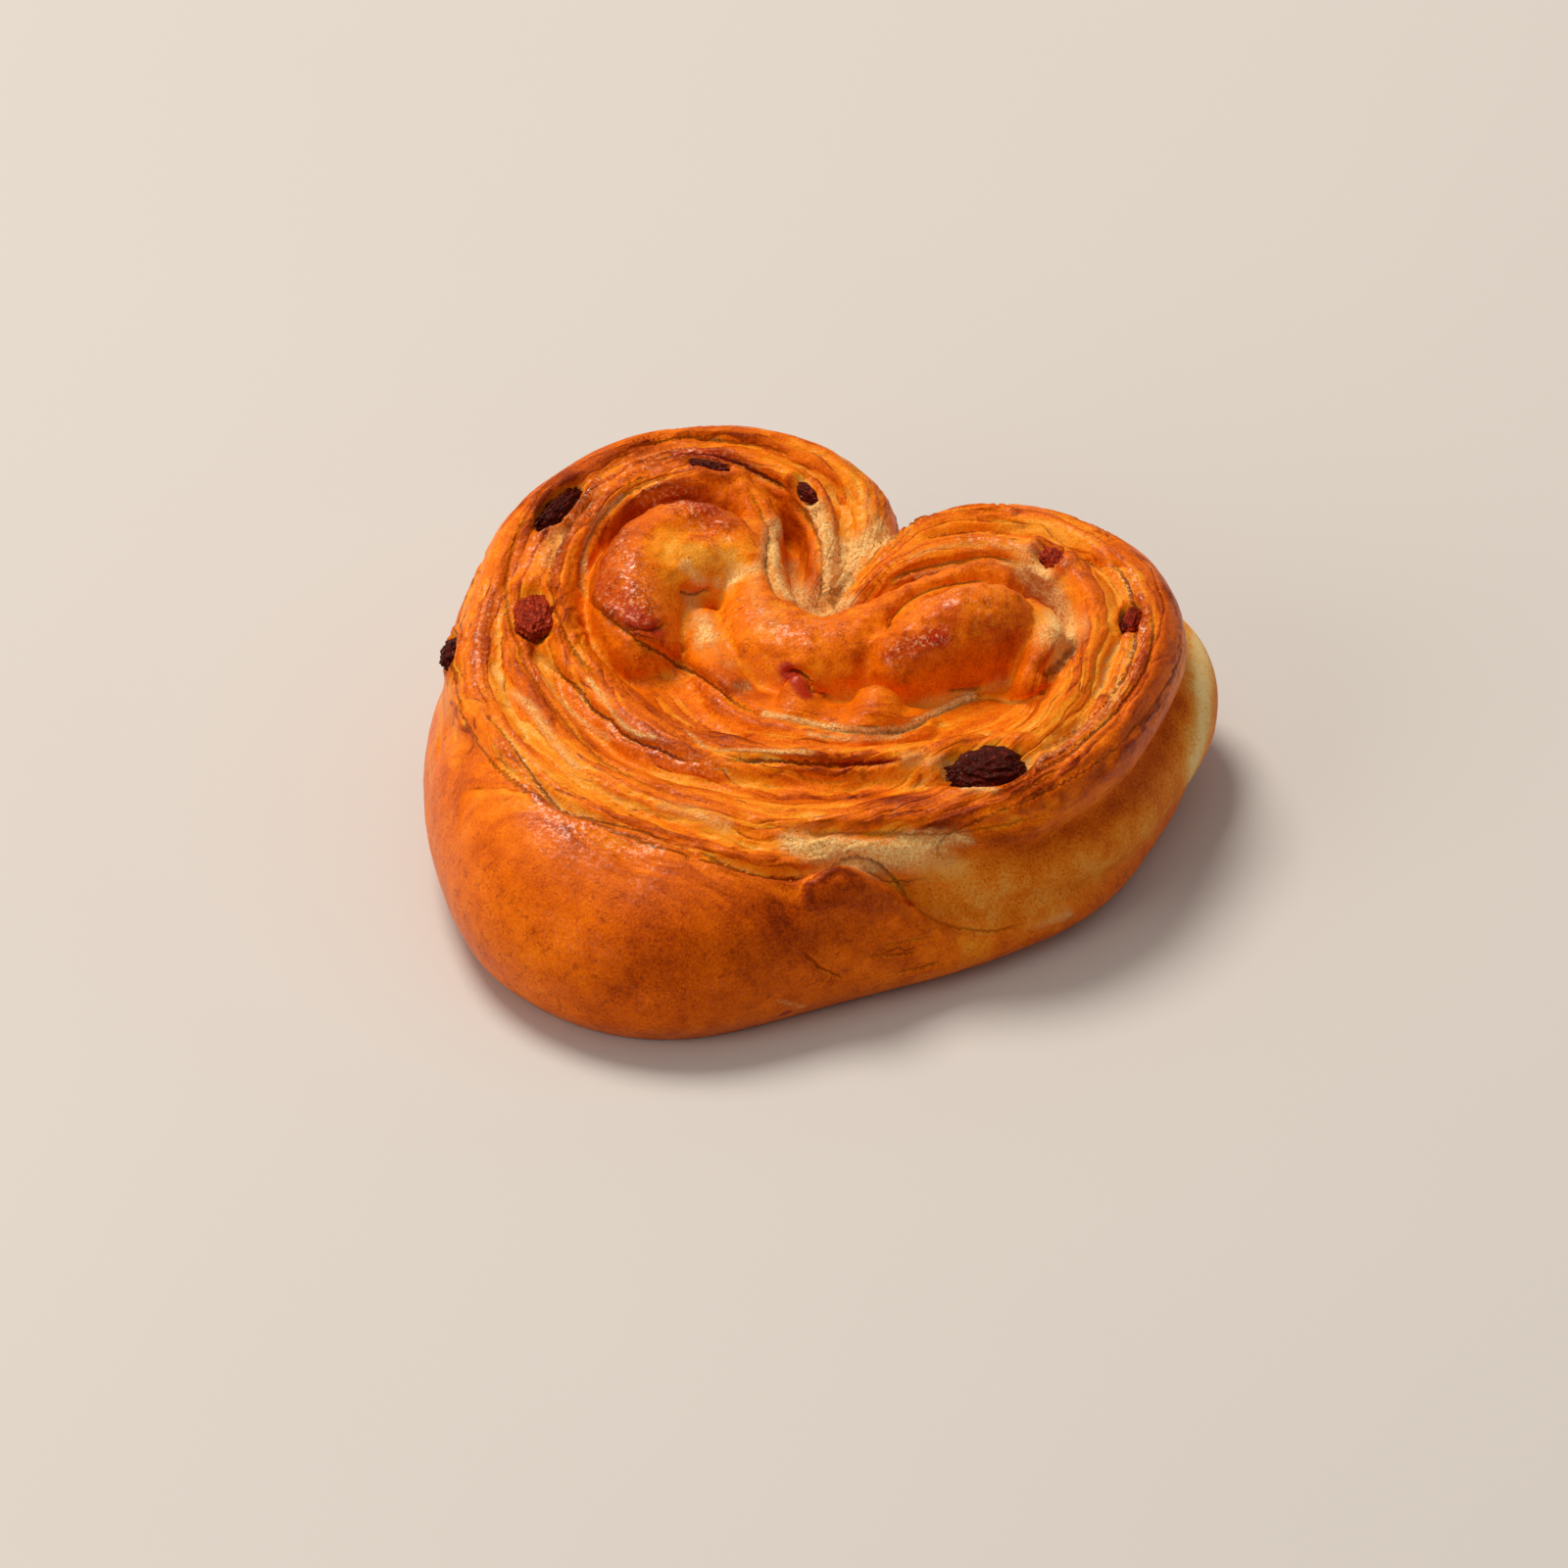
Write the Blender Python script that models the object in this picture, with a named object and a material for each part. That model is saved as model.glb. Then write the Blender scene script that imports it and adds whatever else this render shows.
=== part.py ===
"""A heart-shaped raisin bun: sweet dough that was rolled up, split along its fold and opened into two curls.

The tables below are in millimetres; new_object() turns them into metres. +Z is up and the bun lies on z = 0.
The notch of the heart is at +Y, its blunt tip at -Y, and X runs from the left curl to the right one.
"""

import math

import bmesh
import bpy
import numpy as np
from mathutils import Vector, noise

# Driving dimensions, in millimetres
METRES = 0.001
MIDDLE = (3.0, 5.5)
SHOULDER_HEIGHT = 26.0
CROWN_HEIGHT = 25.0
CROWN_INSET = 15.0
SUNK_BASE = 3.0
POCKET_GAP = 0.3
WRINKLE = 0.16

# How finely the dough is fused into one skin, how much that is softened, and the share of facets kept
VOXEL = 1.0
SOFTENING = 6
KEPT_SHARE = 0.115

# The outer edge, round the heart from the notch over the left curl, the tip and the right curl:
# (x, y, shoulder height as a share of SHOULDER_HEIGHT, lean of the wall as a share of WALL's insets)
OUTLINE = [
    (-3.0, 35.0, 0.85, 1.0),
    (-4.2, 46.3, 0.85, 1.0),
    (-14.0, 52.3, 0.9, 1.0),
    (-28.0, 52.5, 0.95, 1.0),
    (-42.0, 45.5, 0.97, 1.0),
    (-53.5, 33.0, 0.98, 1.0),
    (-56.4, 17.0, 0.97, 1.0),
    (-57.0, -5.0, 0.98, 1.0),
    (-53.0, -22.0, 1.0, 1.0),
    (-44.0, -41.0, 1.0, 1.1),
    (-31.0, -57.0, 0.98, 1.4),
    (-13.0, -64.0, 0.95, 1.8),
    (4.0, -60.0, 0.93, 1.5),
    (21.0, -44.0, 0.82, 0.9),
    (36.0, -27.5, 0.5, 0.8),
    (46.5, -9.5, 0.42, 0.8),
    (49.0, 8.5, 0.46, 0.8),
    (48.2, 26.5, 0.55, 0.85),
    (43.0, 41.5, 0.68, 0.9),
    (35.5, 50.5, 0.78, 1.0),
    (20.0, 53.0, 0.8, 1.0),
    (4.0, 46.5, 0.83, 1.0),
]

# The wall of the loaf from its foot to its shoulder: (inset, share of the shoulder's height)
WALL = [
    (8.0, -SUNK_BASE / SHOULDER_HEIGHT),
    (4.5, 0.0),
    (1.5, 0.14),
    (0.2, 0.3),
    (0.0, 0.44),
    (0.9, 0.62),
    (3.0, 0.8),
    (6.5, 0.93),
    (10.5, 1.0),
]
LEANING_FROM = 0.4

# Two hearts that the coils lie between: for each station round the bun, a point (x, y, z) of the outer one
# and a point of the inner one, on the crests of the dough
RIM = [
    (-7.0, 20.0, 26.0),
    (-4.5, 31.0, 30.0),
    (-9.0, 42.2, 33.9),
    (-23.0, 45.2, 36.7),
    (-39.3, 37.7, 37.6),
    (-49.7, 20.5, 36.2),
    (-51.0, 3.0, 33.0),
    (-48.0, -14.0, 30.0),
    (-41.0, -26.0, 28.5),
    (-28.0, -37.0, 27.5),
    (-10.0, -42.0, 26.5),
    (8.0, -41.0, 25.5),
    (24.0, -29.5, 27.0),
    (36.5, -18.0, 28.5),
    (43.0, -3.0, 29.5),
    (43.8, 13.0, 30.5),
    (41.0, 28.6, 32.0),
    (31.8, 39.3, 33.3),
    (17.0, 42.8, 34.1),
    (4.0, 35.8, 33.8),
    (-3.0, 21.0, 29.0),
]
WELL = [
    (-9.0, 13.0, 28.0),
    (-14.0, 20.0, 31.0),
    (-20.0, 28.0, 34.5),
    (-29.0, 31.5, 36.0),
    (-38.0, 26.0, 36.0),
    (-41.0, 15.0, 35.0),
    (-40.0, 3.0, 33.5),
    (-34.0, -6.0, 32.0),
    (-23.0, -11.5, 30.5),
    (-10.0, -15.5, 30.0),
    (2.0, -16.5, 29.5),
    (13.0, -13.5, 29.5),
    (24.0, -6.0, 30.0),
    (31.0, 1.0, 31.0),
    (33.5, 9.0, 32.0),
    (32.0, 18.0, 33.0),
    (28.0, 26.0, 34.0),
    (20.0, 30.0, 34.5),
    (11.0, 28.0, 34.5),
    (3.0, 21.5, 33.0),
    (-4.0, 14.5, 29.0),
]

# Coils of dough: (station, share of the way from RIM to WELL, drop below it, half width, half height)
COILS = {
    "outer": [
        (0.2, 0.0, 3.0, 2.5, 6.0),
        (1.0, 0.0, 0.0, 5.0, 12.0),
        (3.0, 0.02, 0.0, 6.0, 15.0),
        (5.0, 0.02, 0.0, 6.3, 15.0),
        (7.0, 0.05, 0.0, 5.5, 11.0),
        (8.0, 0.02, 0.0, 4.8, 8.0),
        (9.0, 0.0, 0.3, 4.2, 6.5),
        (10.0, 0.0, 0.6, 4.0, 6.0),
        (11.0, 0.05, 1.2, 3.2, 5.0),
        (11.6, 0.12, 2.5, 2.0, 4.0),
    ],
    "middle": [
        (0.25, 0.5, 0.5, 2.2, 5.0),
        (1.0, 0.45, 0.0, 3.2, 7.5),
        (2.0, 0.4, 0.0, 3.8, 8.0),
        (3.5, 0.4, 0.5, 4.0, 8.0),
        (5.0, 0.45, 0.8, 3.8, 7.0),
        (6.5, 0.42, 0.5, 4.2, 7.0),
        (8.0, 0.32, 0.0, 5.5, 7.5),
        (9.0, 0.24, 0.0, 6.5, 7.5),
        (10.0, 0.27, 0.0, 7.2, 7.5),
        (11.0, 0.33, 0.0, 7.2, 7.0),
        (12.0, 0.2, 0.0, 5.8, 6.0),
        (13.0, 0.03, 0.0, 5.0, 5.3),
        (14.0, 0.0, 0.0, 5.0, 5.3),
        (15.5, 0.0, 0.0, 5.3, 6.0),
        (17.0, 0.0, 0.0, 5.6, 9.0),
        (18.5, 0.02, 0.0, 5.2, 9.0),
        (19.3, 0.05, 0.0, 4.5, 9.0),
        (19.9, 0.1, 1.0, 2.5, 5.0),
    ],
    "inner": [
        (1.6, 0.98, 0.5, 3.0, 7.0),
        (3.0, 0.8, 0.0, 4.0, 8.0),
        (5.0, 0.85, 0.0, 3.6, 8.0),
        (6.5, 0.85, 0.0, 4.2, 7.0),
        (8.0, 0.75, 0.0, 5.8, 7.0),
        (9.0, 0.7, 0.0, 6.3, 7.0),
        (10.0, 0.82, 0.0, 5.0, 6.5),
        (11.0, 0.85, 0.0, 4.0, 6.5),
        (12.0, 0.75, 0.0, 5.0, 6.5),
        (13.0, 0.52, 0.0, 4.8, 6.5),
        (14.0, 0.66, 0.0, 4.3, 6.5),
        (16.0, 0.62, 0.0, 4.3, 7.0),
        (18.0, 0.62, 0.0, 4.3, 7.0),
        (19.2, 0.7, 0.0, 3.8, 6.0),
        (19.9, 0.8, 1.0, 2.2, 5.0),
    ],
    "lower": [
        (10.6, 0.15, 3.0, 3.0, 5.0),
        (11.4, 0.2, 4.0, 6.0, 7.0),
        (12.2, 0.3, 6.5, 8.5, 8.0),
        (13.0, 0.36, 9.0, 9.3, 8.0),
        (14.0, 0.25, 10.0, 9.3, 8.0),
        (15.0, 0.1, 11.0, 8.2, 8.0),
        (16.0, -0.08, 11.0, 8.6, 8.5),
        (17.0, -0.17, 11.5, 9.0, 9.0),
        (18.2, -0.05, 14.5, 6.5, 8.0),
    ],
}

# Folds inside and under the coils: (x, y, crest z, half width, half height)
FOLDS = {
    "left_curl": [
        (-23.0, -4.5, 31.0, 3.5, 6.0),
        (-27.0, -1.0, 34.5, 6.0, 9.0),
        (-30.5, 6.0, 37.0, 7.0, 10.0),
        (-31.5, 14.0, 38.0, 7.0, 10.0),
        (-27.5, 21.0, 38.0, 6.5, 10.0),
        (-20.5, 20.5, 36.5, 5.0, 9.0),
        (-16.5, 14.5, 34.0, 4.0, 8.0),
    ],
    "right_curl": [
        (7.5, 2.5, 32.5, 4.0, 6.0),
        (12.0, 7.0, 36.0, 6.3, 9.0),
        (16.8, 12.2, 38.3, 6.8, 11.0),
        (21.8, 16.8, 37.5, 6.2, 10.0),
        (26.0, 19.5, 34.5, 4.0, 7.0),
    ],
    "bridge": [
        (-22.0, 29.0, 35.0, 3.2, 7.0),
        (-17.0, 21.5, 34.3, 4.2, 8.0),
        (-14.0, 13.0, 33.0, 6.0, 8.0),
        (-9.5, 6.0, 32.8, 8.0, 8.0),
        (-1.0, 5.0, 33.0, 7.8, 8.0),
        (6.0, 12.0, 34.5, 5.2, 8.0),
        (11.5, 20.0, 35.5, 3.8, 7.0),
        (17.0, 24.5, 35.5, 3.5, 7.0),
        (23.0, 26.0, 33.5, 3.0, 6.0),
    ],
    "saddle": [
        (-14.0, -7.0, 26.8, 4.0, 3.0),
        (-7.0, -9.0, 27.7, 6.0, 4.0),
        (2.0, -9.5, 28.0, 6.5, 4.0),
        (11.0, -7.0, 28.0, 6.0, 4.0),
        (19.0, -2.0, 26.8, 4.0, 3.0),
    ],
    "knob": [
        (1.0, -12.0, 28.6, 5.0, 4.0),
        (0.0, -8.5, 30.0, 4.5, 4.5),
        (-1.3, -5.2, 31.2, 2.2, 4.0),
    ],
    "pleat": [
        (9.0, -12.0, 28.6, 3.5, 4.0),
        (11.0, -7.0, 30.0, 4.5, 4.5),
        (10.5, -2.5, 31.0, 4.0, 5.0),
    ],
    "pinch": [
        (13.0, -44.5, 22.8, 2.8, 4.0),
        (18.5, -39.5, 24.0, 3.0, 4.0),
        (23.0, -36.0, 20.2, 2.7, 4.0),
        (28.0, -33.2, 13.0, 2.2, 4.0),
        (33.0, -29.6, 8.0, 1.8, 3.0),
    ],
    "left_slope": [
        (-28.5, 7.0, 34.8, 5.0, 7.0),
        (-27.0, 12.0, 36.6, 6.0, 8.0),
        (-23.0, 16.5, 36.2, 6.0, 8.0),
        (-18.5, 16.0, 34.2, 4.5, 7.0),
    ],
    "flank": [
        (-21.5, 8.5, 30.4, 3.0, 5.0),
        (-18.5, 4.5, 30.2, 3.5, 5.0),
        (-15.5, 0.0, 29.6, 3.8, 5.0),
        (-13.0, -4.5, 29.0, 4.0, 5.0),
        (-9.0, -7.5, 28.8, 3.5, 4.0),
    ],
    "valley_floor": [
        (23.5, 23.5, 32.6, 3.0, 5.0),
        (28.5, 18.5, 32.2, 3.5, 5.0),
        (29.5, 10.5, 31.2, 3.5, 5.0),
        (26.0, 3.0, 30.0, 3.0, 5.0),
    ],
}

# Raisins: (x, y, z of the middle, length, width, height, heading in degrees)
RAISINS = {
    "raisin_left_ring": (-46.8, 19.5, 34.2, 15.0, 4.3, 5.0, 77.0),
    "raisin_left_front": (-42.4, -4.0, 31.3, 12.5, 7.2, 5.5, 110.0),
    "raisin_left_rim": (-52.2, -10.2, 26.2, 8.5, 5.0, 4.5, 95.0),
    "raisin_left_back": (-30.0, 35.0, 34.9, 9.0, 4.0, 4.0, 0.0),
    "raisin_notch": (-15.6, 37.2, 33.2, 7.5, 3.2, 4.0, 140.0),
    "raisin_right_back": (23.7, 33.5, 32.3, 7.5, 5.0, 4.5, 150.0),
    "raisin_right_side": (39.2, 25.6, 30.3, 7.5, 4.0, 4.5, 100.0),
    "raisin_front": (31.2, -14.2, 28.0, 14.0, 11.0, 7.0, 35.0),
}
LARGE_RAISIN = 10.0

# Colour and roughness of the two materials
CRUST = (0.72, 0.33, 0.08), 0.42
RAISIN_SKIN = (0.055, 0.018, 0.012), 0.35


def clear_scene():
    for old in list(bpy.data.objects):
        bpy.data.objects.remove(old, do_unlink=True)


def material(name, colour, roughness):
    made = bpy.data.materials.new(name)
    made.use_nodes = True
    shader = made.node_tree.nodes["Principled BSDF"]
    shader.inputs["Base Color"].default_value = (*colour, 1.0)
    shader.inputs["Roughness"].default_value = roughness
    shader.inputs["Metallic"].default_value = 0.0
    return made


def spline(rows, places, closed=False):
    """Catmull-Rom curve through rows, read at places, where place 2.5 lies halfway from row 2 to row 3."""
    rows = np.asarray(rows, float)
    count = len(rows)
    i = np.minimum(np.asarray(places).astype(int), count - 1 if closed else count - 2)
    t = (places - i)[:, None]
    near = [i + k for k in (-1, 0, 1, 2)]
    p0, p1, p2, p3 = (rows[n % count if closed else np.clip(n, 0, count - 1)] for n in near)
    curve = 2 * p1 + (p2 - p0) * t + (2 * p0 - 5 * p1 + 4 * p2 - p3) * t**2 + (3 * p1 - p0 - 3 * p2 + p3) * t**3
    return curve / 2


def resampled(rows, steps):
    return spline(rows, np.linspace(0, len(rows) - 1, steps))


def left_of(ahead):
    """Unit vectors in plan, a quarter turn to the left of each direction."""
    side = np.stack([-ahead[:, 1], ahead[:, 0]], axis=1)
    return side / np.linalg.norm(side, axis=1)[:, None]


def loft(shape, rings):
    """A closed skin through rings of points, one after another, with a face over each end."""
    loops = [[shape.verts.new(p) for p in ring] for ring in rings]
    sides = len(loops[0])
    for low, high in zip(loops, loops[1:]):
        for s in range(sides):
            shape.faces.new((low[s], low[(s + 1) % sides], high[(s + 1) % sides], high[s]))
    shape.faces.new(loops[0][::-1])
    shape.faces.new(loops[-1])


def loaf(shape, steps=110):
    """The body of the bun: the heart's outline, inset at each height as WALL says, up to a level crown."""
    edge = spline(OUTLINE, np.linspace(0, len(OUTLINE), steps, endpoint=False), closed=True)
    plan, shoulder, lean = edge[:, :2], edge[:, 2:3] * SHOULDER_HEIGHT, edge[:, 3:4]
    inward = left_of(np.roll(plan, -1, axis=0) - np.roll(plan, 1, axis=0))
    rings = []
    for inset, share in WALL:
        slope = lean if share > LEANING_FROM else 1.0
        rings.append(np.hstack([plan + inward * inset * slope, shoulder * share]))
    crown = plan + inward * CROWN_INSET * np.maximum(lean, 1.0)
    rings.append(np.hstack([crown, np.full((steps, 1), CROWN_HEIGHT)]))
    loft(shape, rings)


def strand(shape, route, half_widths, half_heights, sides=18, rounded=3, blunt=0.15):
    """A length of dough with an elliptical section, its crest on route and its ends rounded off."""
    side = left_of(np.gradient(route[:, :2], axis=0))
    turn = np.linspace(0, 2 * math.pi, sides, endpoint=False)
    place = np.arange(len(route))
    from_end = np.minimum(place, place[::-1]) / rounded
    swell = blunt + (1 - blunt) * np.sqrt(1 - (1 - np.minimum(from_end, 1)) ** 2)
    rings = []
    for at, across, wide, high, full in zip(route, side, half_widths, half_heights, swell):
        out = np.cos(turn)[:, None] * across * wide * full
        up = at[2] - high + np.sin(turn)[:, None] * high * full
        rings.append(np.hstack([at[:2] + out, up]))
    loft(shape, rings)


def coil(shape, rows):
    station, share, drop, half_widths, half_heights = resampled(rows, 64).T
    route = spline(RIM, station) * (1 - share[:, None]) + spline(WELL, station) * share[:, None]
    route[:, 2] -= drop
    strand(shape, route, half_widths, half_heights)


def fold(shape, rows):
    rows = resampled(rows, 28)
    strand(shape, rows[:, :3], rows[:, 3], rows[:, 4])


def new_object(name, shape, finish, parent, collection):
    """Makes an object of a shape built in millimetres."""
    bmesh.ops.scale(shape, vec=(METRES,) * 3, verts=shape.verts)
    bmesh.ops.recalc_face_normals(shape, faces=shape.faces)
    mesh = bpy.data.meshes.new(name)
    shape.to_mesh(mesh)
    shape.free()
    mesh.materials.append(finish)
    mesh.shade_smooth()
    made = bpy.data.objects.new(name, mesh)
    made.parent = parent
    collection.objects.link(made)
    return made


def helper(made):
    made.hide_render = True
    made.display_type = "WIRE"


def bun(finish, parent, collection):
    """The dough in one piece: loaf, coils and folds fused into one skin."""
    shape = bmesh.new()
    loaf(shape)
    for rows in COILS.values():
        coil(shape, rows)
    for rows in FOLDS.values():
        fold(shape, rows)
    made = new_object("bun", shape, finish, parent, collection)

    fuse = made.modifiers.new("fuse", "REMESH")
    fuse.mode = "VOXEL"
    fuse.voxel_size = VOXEL * METRES
    soften = made.modifiers.new("soften", "SMOOTH")
    soften.factor = 0.5
    soften.iterations = SOFTENING
    thin = made.modifiers.new("thin", "DECIMATE")
    thin.ratio = KEPT_SHARE
    return made


def raisin(name, place, finish, parent, collection, grown=0.0):
    """One raisin, an ellipsoid with wrinkles along it. Its pocket is the same shape, grown by the gap."""
    x, y, z, length, width, height, heading = place
    half = Vector((length, width, height)) / 2
    shape = bmesh.new()
    bmesh.ops.create_icosphere(shape, subdivisions=3 if length > LARGE_RAISIN else 2, radius=1.0)
    for v in shape.verts:
        wrinkle = noise.noise(Vector((v.co.x * 0.9 + x, v.co.y * 2.6 + y, v.co.z * 2.6)))
        out = Vector((v.co.x / half.x, v.co.y / half.y, v.co.z / half.z)).normalized()
        v.co = v.co * half * (1 + WRINKLE * wrinkle) + out * grown
    made = new_object(name, shape, finish, parent, collection)
    made.location = Vector((x, y, z)) * METRES
    made.rotation_euler.z = math.radians(heading)
    return made


def board(finish, parent, collection, reach=180.0, deep=20.0):
    """A block whose top face is the surface that the bun lies on: it cuts the bun's underside flat."""
    shape = bmesh.new()
    bmesh.ops.create_cube(shape, size=1.0)
    bmesh.ops.scale(shape, vec=(reach, reach, deep), verts=shape.verts)
    made = new_object("board", shape, finish, parent, collection)
    made.location.z = -deep / 2 * METRES
    return made


def cut(target, helpers):
    """Takes every solid of the helpers' collection away from target."""
    taking = target.modifiers.new("cut", "BOOLEAN")
    taking.operation = "DIFFERENCE"
    taking.operand_type = "COLLECTION"
    taking.collection = helpers
    taking.solver = "EXACT"


def main():
    clear_scene()
    scene = bpy.context.scene.collection
    helpers = bpy.data.collections.new("helpers")
    scene.children.link(helpers)
    whole = bpy.data.objects.new("raisin_bun", None)
    whole.location = (MIDDLE[0] * METRES, MIDDLE[1] * METRES, 0)
    scene.objects.link(whole)

    crust, skin = material("crust", *CRUST), material("raisin_skin", *RAISIN_SKIN)
    dough = bun(crust, whole, scene)
    helper(board(crust, whole, helpers))
    for name, place in RAISINS.items():
        raisin(name, place, skin, whole, scene)
        helper(raisin(name + "_pocket", place, crust, whole, helpers, POCKET_GAP))
    cut(dough, helpers)


main()
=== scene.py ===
"""A heart-shaped raisin bun: sweet dough rolled up, split along its fold, opened into two curls and baked.

Lengths are in millimetres until a piece is finished, then metres. +Z is up and the bun lies on z = 0.
The notch of the heart is at +Y, its blunt tip at -Y, and X runs from the left curl to the right one.
"""

import math

import bmesh
import bpy
import numpy as np
from mathutils import Matrix, Vector
from mathutils.bvhtree import BVHTree
from mathutils.kdtree import KDTree


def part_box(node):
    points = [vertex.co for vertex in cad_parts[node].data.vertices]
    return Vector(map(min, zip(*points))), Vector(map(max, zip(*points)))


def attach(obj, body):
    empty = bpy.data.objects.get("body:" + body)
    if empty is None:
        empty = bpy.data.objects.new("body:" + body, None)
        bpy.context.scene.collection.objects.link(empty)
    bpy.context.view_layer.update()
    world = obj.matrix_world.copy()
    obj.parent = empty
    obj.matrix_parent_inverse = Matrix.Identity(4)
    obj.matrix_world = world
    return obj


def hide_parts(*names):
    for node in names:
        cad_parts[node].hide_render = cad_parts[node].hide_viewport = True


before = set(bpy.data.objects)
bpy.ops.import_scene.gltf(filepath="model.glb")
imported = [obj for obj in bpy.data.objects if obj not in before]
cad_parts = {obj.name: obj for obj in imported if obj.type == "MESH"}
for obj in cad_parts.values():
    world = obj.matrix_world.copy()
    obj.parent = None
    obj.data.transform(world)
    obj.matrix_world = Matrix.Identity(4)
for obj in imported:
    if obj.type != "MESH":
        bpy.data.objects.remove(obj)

METRES = 0.001
MIDDLE = (3.0, 5.5, 0.0)

# The picture: how the camera stands, how wide a pixel is, and the pixel that shows the tables' origin
AZIMUTH, ELEVATION = math.radians(20.0), math.radians(34.0)
PICTURE = 1600
PIXEL = 0.142
ORIGIN_PIXEL = (835.0, 850.0)

# ---- the dough's main shape

SHOULDER_HEIGHT = 26.0
CROWN_HEIGHT = 25.0
CROWN_INSET = 15.0
SUNK_BASE = 3.0
VOXEL = 0.6
SOFTENING = 9
RELIEF_OVER = 7

# Each coil and fold is a strand with an elliptical section: its sides, rings over a rounded end, blunt share
STRAND_SIDES, STRAND_ROUNDED, STRAND_BLUNT = 28, 4, 0.15

# The dough sinks this far under a raisin and lifts this far in a lip round it
POCKET_DEPTH, LIP_HEIGHT = 0.8, 0.6

# A crease fades over this share of its length at each end
CREASE_FADE = 0.18

# The studio: (place in metres, size in metres, watts)
KEY_LIGHT = (-0.75, 0.5, 1.55), 0.8, 29.0
FILL_LIGHT = (-0.45, -0.7, 0.45), 0.6, 2.4
LAMP_COLOUR = (1.0, 0.93, 0.82)
SKY_COLOUR, SKY_STRENGTH = (1.0, 0.95, 0.88, 1.0), 0.38
CAMERA_DISTANCE, RAY_START = 900, 400

# The outer edge, round the heart from the notch over the left curl, the tip and the right curl:
# (x, y, shoulder height as a share of SHOULDER_HEIGHT, lean of the wall as a share of WALL's insets)
OUTLINE = [
    (-3, 35, 0.85, 1), (-4.2, 46.3, 0.85, 1), (-14, 52.3, 0.9, 1), (-28, 52.5, 0.95, 1), (-42, 45.5, 0.97, 1),
    (-53.5, 33, 0.98, 1), (-56.4, 17, 0.97, 1), (-57, -5, 0.98, 1), (-53, -22, 1, 1), (-44, -41, 1, 1.1),
    (-31, -57, 0.98, 1.4), (-13, -64, 0.95, 1.8), (4, -60, 0.93, 1.5), (21, -44, 0.82, 0.9),
    (36, -27.5, 0.5, 0.8), (46.5, -9.5, 0.42, 0.8), (49, 8.5, 0.46, 0.8), (48.2, 26.5, 0.55, 0.85),
    (43, 41.5, 0.68, 0.9), (35.5, 50.5, 0.78, 1), (20, 53, 0.8, 1), (4, 46.5, 0.83, 1),
]

# The wall of the loaf from its foot to its shoulder: (inset, share of the shoulder's height)
WALL = [
    (8.0, -SUNK_BASE / SHOULDER_HEIGHT),
    (4.5, 0.0),
    (1.5, 0.14),
    (0.2, 0.3),
    (0.0, 0.44),
    (0.9, 0.62),
    (3.0, 0.8),
    (6.5, 0.93),
    (10.5, 1.0),
]
LEANING_FROM = 0.4

# Two hearts that the coils lie between: for each station round the bun, the place (x, y, z) of the outer one,
# RIM, and of the inner one, WELL, on the crests of the dough
STATIONS = [
    (-7, 20, 26, -9, 13, 28), (-4.5, 31, 30, -14, 20, 31), (-9, 42.2, 33.9, -20, 28, 34.5),
    (-23, 45.2, 36.7, -29, 31.5, 36), (-39.3, 37.7, 37.6, -38, 26, 36), (-49.7, 20.5, 36.2, -41, 15, 35),
    (-51, 3, 33, -40, 3, 33.5), (-48, -14, 30, -34, -6, 32), (-41, -26, 28.5, -23, -11.5, 30.5),
    (-28, -37, 27.5, -10, -15.5, 30), (-10, -42, 26.5, 2, -16.5, 29.5), (8, -41, 25.5, 13, -13.5, 29.5),
    (24, -29.5, 27, 24, -6, 30), (36.5, -18, 28.5, 31, 1, 31), (43, -3, 29.5, 33.5, 9, 32),
    (43.8, 13, 30.5, 32, 18, 33), (41, 28.6, 32, 28, 26, 34), (31.8, 39.3, 33.3, 20, 30, 34.5),
    (17, 42.8, 34.1, 11, 28, 34.5), (4, 35.8, 33.8, 3, 21.5, 33), (-3, 21, 29, -4, 14.5, 29),
]
RIM, WELL = np.hsplit(np.array(STATIONS, float), 2)

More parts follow.
